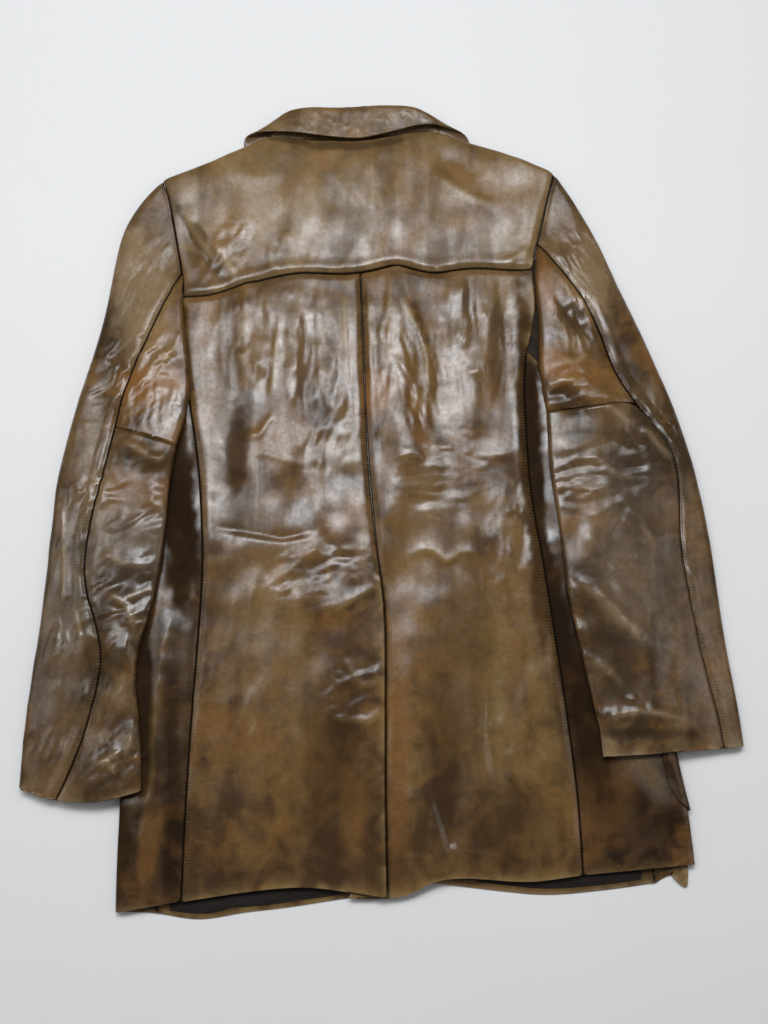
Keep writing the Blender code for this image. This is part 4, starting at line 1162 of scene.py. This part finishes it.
@dataclass(frozen=True)
class PlainFinish:
    """A finish with a fine grain: thread, lining cloth, horn or the floor."""

    name: str
    colour: Colour
    other: Colour
    scale: float
    roughness: float
    bump: float
    stretch: Triple = (1.0, 1.0, 1.0)

    def material(self) -> bpy.types.Material:
        """The finish as a material.

        Returns:
            The material.
        """
        material = bpy.data.materials.new(self.name)
        material.use_nodes = True
        g = Graph(material.node_tree)
        shader = material.node_tree.nodes["Principled BSDF"]
        place = g.add("ShaderNodeTexCoord").outputs["Object"]
        spots = g.noise(g.stretched(place, self.stretch), self.scale, 4.0)
        colour = g.mixed(g.ramp(spots, 0.35, 0.65), (*self.colour, 1.0), (*self.other, 1.0))
        bump = g.add("ShaderNodeBump", {"Height": spots, "Distance": self.bump * MM})
        looks = {"Base Color": colour, "Normal": bump.outputs[0]}
        g.feed(shader, looks | {"Roughness": self.roughness, "Specular IOR Level": PLAIN_SPECULAR})
        return material


class Layer(Enum):
    """The layers of the coat, each with folds of its own."""

    BODY = "body"
    LEFT_SLEEVE = "left sleeve"
    RIGHT_SLEEVE = "right sleeve"
    COLLAR = "collar"
    UNDER = "under the coat"


LEATHER_NODES: dict[Layer, tuple[str, ...]] = {
    Layer.BODY: (
        "yoke",
        "back_left",
        "back_right",
        "side_left",
        "side_right",
        "vent_underlap",
        "pocket_right",
    ),
    Layer.LEFT_SLEEVE: ("top_sleeve_left", "under_sleeve_upper_left", "under_sleeve_lower_left"),
    Layer.RIGHT_SLEEVE: ("top_sleeve_right", "under_sleeve_upper_right", "under_sleeve_lower_right"),
    Layer.COLLAR: ("collar",),
    Layer.UNDER: ("front_left", "front_right", "pocket_left", "hem_corner_right"),
}
RELIEFS: dict[Layer, ReliefMap] = {
    Layer.BODY: ReliefMap(BODY_FOLDS, BODY_CRUMPLES, BODY_PATCHES, 11),
    Layer.LEFT_SLEEVE: ReliefMap(LEFT_FOLDS, LEFT_CRUMPLES, LEFT_PATCHES, 21),
    Layer.RIGHT_SLEEVE: ReliefMap(RIGHT_FOLDS, RIGHT_CRUMPLES, RIGHT_PATCHES, 31),
    Layer.COLLAR: ReliefMap(COLLAR_FOLDS, COLLAR_CRUMPLES, COLLAR_PATCHES, 41),
    Layer.UNDER: ReliefMap((), (), UNDER_PATCHES, 51),
}
INSIDE_COAT = Vector((0.0, 0.0, 0.007))
BELOW_COAT = Vector((0.0, 0.0, -1.0))


@dataclass
class Panel:
    """One panel of the coat: its wall, its folds and its leather."""

    node: str
    layer: Layer
    slot: str
    flat: Pair
    rests_on: tuple[str, ...]
    sewn_to: tuple[str, ...] = ()
    levels: int = 3
    hub: Vector | None = None

    def build(self, material: bpy.types.Material, thread: bpy.types.Material) -> bpy.types.Object:
        """Makes the panel and its stitches.

        Args:
            material: the panel's leather.
            thread: its stitches' thread.

        Returns:
            The panel's object.
        """
        wall = Wall(self.node, self.levels, self.hub)
        self.measure_edges(wall)
        values = self.work(wall)
        mesh = wall.mesh
        mesh.name = self.name
        mesh.vertices.foreach_set("co", (wall.points * MM).ravel())
        for key, value in values.items():
            layer = mesh.attributes.new(key, "FLOAT", "POINT")
            layer.data.foreach_set("value", value[wall.lead].astype(np.float32))
        mesh.polygons.foreach_set("material_index", np.zeros(len(mesh.polygons), int))
        mesh.materials.clear()
        mesh.materials.append(material)
        mesh.shade_smooth()
        mesh.update()
        piece = linked(self.name, mesh)
        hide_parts(self.node)
        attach(piece, "root")
        stitches = self.stitches(wall, thread)
        LOG.info("%s: %.4f square metres", self.name, wall.area)
        return piece

    @property
    def name(self) -> str:
        """The piece's name."""
        return f"{self.node}_leather"

    def measure_edges(self, wall: Wall) -> None:
        """Finds which parts of the panel's edge are sewn, and which of those are topstitched.

        Args:
            wall: the panel's wall.
        """
        rim = wall.points[wall.rim_ids] * MM
        own = set(LEATHER_NODES[self.layer])
        same = tree_of(tuple(own - {self.node})) if len(own) > 1 else None
        rest = tree_of(tuple(
            node for layer, nodes in LEATHER_NODES.items() if layer is not self.layer for node in nodes
        ))

        def close(tree: BVHTree | None, reach: float = NEAR) -> np.ndarray:
            """Where the edge lies next to a tree's surfaces.

            Args:
                tree: the tree, or none.
                reach: how near that is, in millimetres.

            Returns:
                A yes or no for each place of the edge.
            """
            if tree is None:
                return np.zeros(len(rim), bool)
            return np.array([tree.find_nearest(Vector(p))[3] < reach * MM for p in rim])

        self.sewn = close(same)
        self.shaded = close(same, LAPPED) | close(rest)
        self.crossing = close(rest)
        self.topstitched = close(tree_of(self.sewn_to)) if self.sewn_to else np.zeros(len(rim), bool)

    def distances(self, wall: Wall, chosen: np.ndarray) -> np.ndarray:
        """How far the outer skin is from parts of the edge.

        Args:
            wall: the panel's wall.
            chosen: which places of the edge count.

        Returns:
            The distance of each vertex in millimetres.
        """
        off = np.full(len(wall.points), FAR_AWAY)
        if chosen.sum() > 3:
            tree = key_tree(wall.points[wall.rim_ids[chosen]])
            _, found = nearest_in(tree, wall.points[wall.outer_ids])
            off[wall.outer_ids] = found
        return off

    def clear_of_cover(self, wall: Wall) -> np.ndarray:
        """How free the outer skin is to rise, which is not at all under a sleeve or the collar.

        Args:
            wall: the panel's wall.

        Returns:
            A share from 0 to 1 for each vertex.
        """
        free = np.ones(len(wall.points))
        if self.layer is not Layer.BODY:
            return free
        over = tree_of((*LEATHER_NODES[Layer.LEFT_SLEEVE], *LEATHER_NODES[Layer.RIGHT_SLEEVE], "collar"))
        up = Vector((0, 0, 1))
        under = np.array([
            over.ray_cast(Vector(wall.points[i] * MM) + up * MM * 0.2, up, COVER_HEIGHT)[0] is not None
            for i in wall.outer_ids
        ])
        if under.any():
            tree = key_tree(wall.points[wall.outer_ids[under]])
            _, off = nearest_in(tree, wall.points[wall.outer_ids])
            free[wall.outer_ids] = soft(off / COVER_REACH)
        return free

    def work(self, wall: Wall) -> dict[str, np.ndarray]:
        """Works the layer's folds and the seams into the wall.

        Args:
            wall: the panel's wall, whose points are moved.

        Returns:
            What the leather's finish reads at each vertex.
        """
        ids = wall.outer_ids
        x = wall.points[:, 0] + PLAN_MIDDLE[0]
        y = wall.points[:, 1] + PLAN_MIDDLE[1]
        relief = RELIEFS[self.layer]
        rise, wear, fine = (np.zeros(len(x)) for _ in range(3))
        rise[ids], wear[ids], fine[ids] = relief.shape(x[ids], y[ids])
        facing = soft((wall.normals[:, 2] - 0.1) / 0.55)  # none where the skin turns down at a side
        free = self.clear_of_cover(wall)
        crossing = self.distances(wall, self.crossing)
        rise = rise * facing * soft((crossing + 2) / CROSSING_REACH)
        rise = np.where(rise > 0, rise * free, rise)
        sewn = self.distances(wall, self.sewn | self.crossing)
        stitched = self.distances(wall, self.topstitched)
        hem = self.distances(wall, ~(self.sewn | self.crossing | self.topstitched))
        rise -= SEAM_DIP * np.exp(-((sewn / SEAM_DIP_REACH) ** 2))
        fall = (SEAM_RIDGE_PLACE + SEAM_RIDGE_FALL - stitched) / SEAM_RIDGE_FALL
        ridge = soft(stitched / 3) * soft(fall)
        rise += SEAM_RIDGE * ridge * facing * free
        place, rim = nearest_in(wall.rim_tree, wall.points[ids])
        run, rim_off = np.zeros(len(x)), np.full(len(x), FAR_AWAY)
        run[ids] = wall.run[place]
        rim_off[ids] = np.where(self.shaded[place], rim, FAR_AWAY)
        wall.points += (wall.normals * rise[:, None])[wall.lead]
        tints = {kind.value: np.zeros(len(x)) for kind in Tint}
        for kind in Tint:
            tints[kind.value][ids] = relief.tint(kind, x[ids], y[ids]) * (0.25 + 0.75 * facing[ids])
        return {
            "wear": wear * facing,
            "fine": fine * facing,
            "rim": rim_off,
            "hem": hem,
            "run": run,
            "sewn": stitched,
            **tints,
        }

    def stitches(self, wall: Wall, thread: bpy.types.Material) -> bpy.types.Object | None:
        """The topstitching along the panel's seams.

        Args:
            wall: the panel's finished wall.
            thread: the thread's material.

        Returns:
            One object with every stitch, or none where the panel has no topstitched seam.
        """
        if self.topstitched.sum() < 4:
            return None
        surface = BVHTree.FromPolygons(
            [Vector(p) for p in wall.points], [tuple(face.vertices) for face in wall.mesh.polygons]
        )
        line = wall.points[wall.rim_ids] + wall.inward * STITCH_IN
        bm = bmesh.new()
        for a in range(len(line) - 1):
            if not (self.topstitched[a] and self.topstitched[a + 1]):
                continue
            start, end = wall.run[a], wall.run[a + 1]
            if wall.chain[a] != wall.chain[a + 1] or end - start > 3 * STITCH_PITCH:
                continue
            first = math.ceil(start / STITCH_PITCH) * STITCH_PITCH
            for run in np.arange(first, end, STITCH_PITCH):
                share = (run - start) / (end - start)
                spot = Vector(line[a] * (1 - share) + line[a + 1] * share)
                hit, normal, _, _ = surface.find_nearest(spot)
                if normal.z < 0.1:
                    continue
                way = Vector(line[a + 1] - line[a]).normalized()
                side = normal.cross(way).normalized()
                turn = Matrix((way, side, normal)).transposed().to_4x4()
                size = Matrix.Diagonal((STITCH_LENGTH / 2, STITCH_WIDTH / 2, STITCH_WIDTH / 2, 1))
                there = Matrix.Translation((hit + normal * 0.05) * MM)
                bmesh.ops.create_uvsphere(
                    bm,
                    u_segments=STITCH_SIDES,
                    v_segments=STITCH_RINGS,
                    radius=1.0,
                    matrix=there @ turn @ Matrix.Scale(MM, 4) @ size @ Matrix.Rotation(math.pi / 2, 4, "Y"),
                )
        if not bm.verts:
            bm.free()
            return None
        stitched = mesh_from(bm, f"{self.node}_stitches", thread)
        stitched.shade_smooth()
        piece = linked(f"{self.node}_stitches", stitched)
        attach(piece, "root")
        return piece


@dataclass(frozen=True)
class SeamTurning:
    """Leather turned in along a seam, a near-black strip of painted shade where the seam opens."""

    name: str
    line: tuple[Pair, ...]
    width: float
    thickness: float
    heights: Pair  # of its edges under the back and under the sleeve
    sag: float
    slot: str

    def build(self, material: bpy.types.Material) -> bpy.types.Object:
        """Makes the strip.

        Args:
            material: its leather.

        Returns:
            The strip's object.
        """
        curve = curve_through(self.line)
        bm = bmesh.new()
        bmesh.ops.create_grid(bm, x_segments=8, y_segments=len(curve) - 1, size=1.0)
        for vert in bm.verts:
            row = (vert.co.y + 1) / 2 * (len(curve) - 1)
            middle = curve[min(round(row), len(curve) - 1)]
            across = (vert.co.x + 1) / 2
            height = self.heights[0] * (1 - across) + self.heights[1] * across
            height -= self.sag * math.sin(math.pi * across)
            vert.co = (
                (middle[0] - PLAN_MIDDLE[0] + self.width * (across - 0.5)) * MM,
                (middle[1] - PLAN_MIDDLE[1]) * MM,
                height * MM,
            )
        bmesh.ops.solidify(bm, geom=bm.faces[:], thickness=self.thickness * MM)
        bmesh.ops.recalc_face_normals(bm, faces=bm.faces)
        mesh = mesh_from(bm, self.name, material)
        mesh.shade_smooth()
        piece = linked(self.name, mesh)
        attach(piece, "root")
        return piece


ARMHOLE_TURNING = SeamTurning(
    "armhole_turning_right",
    ((168, 700), (168.5, 672), (170, 640), (168, 612), (167, 592), (167, 574)),
    width=17.0,
    thickness=1.2,
    heights=(9.2, 12.5),
    sag=2.0,
    slot="side_leather",
)
PANELS: tuple[Panel, ...] = (
    Panel("yoke", Layer.BODY, "yoke_leather", (0.465, 0.18), ("front_left_leather", "front_right_leather"),
          ("back_left", "back_right"), hub=INSIDE_COAT),
    Panel("back_left", Layer.BODY, "back_leather", (0.21, 0.665), ("front_left_leather",),
          ("side_left", "back_right"), hub=INSIDE_COAT),
    Panel("back_right", Layer.BODY, "back_leather", (0.205, 0.67), ("front_right_leather",),
          ("side_right",), hub=INSIDE_COAT),
    Panel("side_left", Layer.BODY, "side_leather", (0.22, 0.6), ("front_left_leather",), hub=INSIDE_COAT),
    Panel("side_right", Layer.BODY, "side_leather", (0.22, 0.56), ("front_right_leather",), hub=INSIDE_COAT),
    Panel("vent_underlap", Layer.BODY, "under_sleeve_leather", (0.045, 0.315),
          ("front_left_leather",), hub=INSIDE_COAT),
    Panel("pocket_right", Layer.BODY, "side_leather", (0.175, 0.175), ("side_right_leather",),
          hub=INSIDE_COAT),
    Panel("top_sleeve_left", Layer.LEFT_SLEEVE, "sleeve_leather", (0.165, 0.695), ("side_left_leather",),
          ("under_sleeve_upper_left", "under_sleeve_lower_left")),
    Panel("under_sleeve_upper_left", Layer.LEFT_SLEEVE, "under_sleeve_leather", (0.136, 0.203),
          ("side_left_leather",), ("under_sleeve_lower_left",)),
    Panel("under_sleeve_lower_left", Layer.LEFT_SLEEVE, "sleeve_leather", (0.151, 0.408),
          ("side_left_leather",)),
    Panel("top_sleeve_right", Layer.RIGHT_SLEEVE, "sleeve_leather", (0.15, 0.668), ("side_right_leather",),
          ("under_sleeve_upper_right", "under_sleeve_lower_right")),
    Panel("under_sleeve_upper_right", Layer.RIGHT_SLEEVE, "under_sleeve_leather", (0.176, 0.213),
          ("side_right_leather",), ("under_sleeve_lower_right",)),
    Panel("under_sleeve_lower_right", Layer.RIGHT_SLEEVE, "sleeve_leather", (0.219, 0.382),
          ("side_right_leather",)),
    Panel("collar", Layer.COLLAR, "yoke_leather", (0.537, 0.1), ("yoke_leather",), hub=INSIDE_COAT),
    Panel("front_left", Layer.UNDER, "back_leather", (0.28, 0.846), (), levels=2, hub=INSIDE_COAT),
    Panel("front_right", Layer.UNDER, "back_leather", (0.292, 0.837), ("front_left_leather",), levels=2,
          hub=INSIDE_COAT),
    Panel("pocket_left", Layer.UNDER, "side_leather", (0.153, 0.155), (), levels=2, hub=INSIDE_COAT),
    Panel("hem_corner_right", Layer.UNDER, "yoke_leather", (0.027, 0.027), ("front_right_leather",),
          hub=BELOW_COAT),
    Panel("lining_left", Layer.UNDER, "lining", (0.181, 0.043), ("front_left_leather",), hub=BELOW_COAT),
    Panel("lining_right", Layer.UNDER, "lining", (0.205, 0.043), ("front_right_leather",), hub=BELOW_COAT),
)
FINISHES: dict[str, LeatherFinish] = {
    "yoke_leather": LeatherFinish(
        "olive tan leather", (0.165, 0.100, 0.040), (0.080, 0.046, 0.018), (0.28, 0.195, 0.100), shift=0.0
    ),
    "back_leather": LeatherFinish(
        "brown leather", (0.135, 0.072, 0.023), (0.050, 0.026, 0.010), (0.23, 0.150, 0.060), shift=3.0
    ),
    # the sides get a much darker copy of the brown leather: painted shade where they lie between the sleeves
    # and the back; the pockets wear it too
    "side_leather": LeatherFinish(
        "dark brown leather in painted shade", (0.060, 0.031, 0.011), (0.020, 0.010, 0.004), (0.15, 0.090, 0.036), shift=5.0
    ),
    "sleeve_leather": LeatherFinish(
        "greyed brown leather", (0.120, 0.070, 0.029), (0.042, 0.024, 0.010), (0.25, 0.172, 0.092), shift=7.0
    ),
    "under_sleeve_leather": LeatherFinish(
        "rust leather", (0.130, 0.066, 0.020), (0.046, 0.023, 0.008), (0.25, 0.155, 0.066), shift=9.0
    ),
}
LINING_CLOTH = PlainFinish("woven lining", (0.007, 0.005, 0.004), (0.013, 0.009, 0.007), 900.0, 0.8, 0.1)
# near-black: painted shade in the open seam between the back and the right sleeve
SHADED_TURNING = PlainFinish(
    "turned-in leather in painted shade", (0.010, 0.006, 0.003), (0.020, 0.012, 0.006), 160.0, 0.8, 0.2
)
THREAD = PlainFinish("dark thread", (0.020, 0.012, 0.007), (0.045, 0.028, 0.016), 2500.0, 0.6, 0.1)
HORN = PlainFinish(
    "dark horn", (0.03, 0.015, 0.009), (0.07, 0.035, 0.018), 220.0, 0.28, 0.02, stretch=(1.0, 0.3, 1.0)
)
FLOOR = PlainFinish("pale floor", (0.655, 0.65, 0.64), (0.665, 0.66, 0.65), 3.0, 0.7, 0.0)
BUTTONS = ("button_1", "button_2", "button_3")


@dataclass(frozen=True)
class Lamp:
    """A soft rectangular light."""

    name: str
    place: Triple
    size: Pair
    power: float
    colour: Colour
    towards: Triple = (0.0, 0.0, 0.0)

    def hang(self) -> None:
        """Hangs the lamp in its place, turned to what it lights."""
        data = bpy.data.lights.new(self.name, "AREA")
        data.shape = "RECTANGLE"
        data.size, data.size_y = self.size
        data.energy = self.power
        data.color = self.colour
        lamp = bpy.data.objects.new(self.name, data)
        lamp.location = self.place
        way = Vector(self.towards) - Vector(self.place)
        lamp.rotation_euler = way.to_track_quat("-Z", "Y").to_euler()
        bpy.context.scene.collection.objects.link(lamp)


COOL = (0.93, 0.96, 1.0)
WARM = (1.0, 0.99, 0.97)
YOKE = (-0.04, 0.10, 0.0)
LAMPS = (
    Lamp("wide softbox", (-0.25, 0.84, 2.1), (2.6, 1.1), 32.0, COOL, YOKE),
    Lamp("softbox", (-0.15, 0.74, 2.1), (1.6, 0.60), 19.0, COOL, YOKE),
    Lamp("softbox core", (-0.12, 0.70, 2.1), (0.9, 0.32), 7.0, COOL, YOKE),
    Lamp("left light", (-1.7, 0.1, 1.5), (0.8, 1.6), 6.0, WARM),
    Lamp("right light", (1.7, 0.0, 1.5), (0.8, 1.6), 6.0, WARM),
    Lamp("low light", (0.2, -1.9, 1.3), (1.4, 0.7), 5.0, (1.0, 0.98, 0.96)),
)


@dataclass(frozen=True)
class Studio:
    """The floor, the light and the camera."""

    floor_side: float = 8.0
    floor_depth: float = 0.0004
    camera_place: Triple = (0.0015, -0.3098, 1.3401)
    camera_tilt: float = 12.0
    lens: float = 45.01
    sensor: float = 36.0
    room_colour: tuple[float, float, float, float] = (0.90, 0.93, 1.0, 1.0)
    room_strength: float = 0.09

    def build(self) -> None:
        """Lays the floor, and sets the lamps and the camera."""
        bm = bmesh.new()
        bmesh.ops.create_grid(bm, x_segments=1, y_segments=1, size=self.floor_side / 2)
        bmesh.ops.translate(bm, verts=bm.verts, vec=(0, 0, -self.floor_depth))
        linked("floor", mesh_from(bm, "floor", FLOOR.material()))
        for lamp in LAMPS:
            lamp.hang()
        world = bpy.data.worlds.new("pale room")
        world.use_nodes = True
        background = world.node_tree.nodes["Background"]
        background.inputs["Color"].default_value = self.room_colour
        background.inputs["Strength"].default_value = self.room_strength
        bpy.context.scene.world = world
        bpy.context.scene.view_settings.view_transform = "Standard"
        data = bpy.data.cameras.new("camera")
        data.sensor_fit = "AUTO"
        data.sensor_width = self.sensor
        data.lens = self.lens
        camera = bpy.data.objects.new("camera", data)
        camera.location = self.camera_place
        camera.rotation_euler = (math.radians(self.camera_tilt), 0.0, 0.0)
        bpy.context.scene.collection.objects.link(camera)
        bpy.context.scene.camera = camera


def main() -> None:
    """Dresses the coat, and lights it."""
    logging.basicConfig(level=logging.INFO, format="%(name)s %(message)s")
    group = leather_wear_and_shade_group()
    leathers = {slot: finish.material(group) for slot, finish in FINISHES.items()}
    leathers["lining"] = LINING_CLOTH.material()
    thread = THREAD.material()
    for panel in PANELS:
        panel.build(leathers[panel.slot], thread)
    ARMHOLE_TURNING.build(SHADED_TURNING.material())
    horn = HORN.material()
    for button in BUTTONS:
        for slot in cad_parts[button].material_slots:
            slot.material = horn
    Studio().build()
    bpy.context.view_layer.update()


if __name__ == "__main__":
    main()
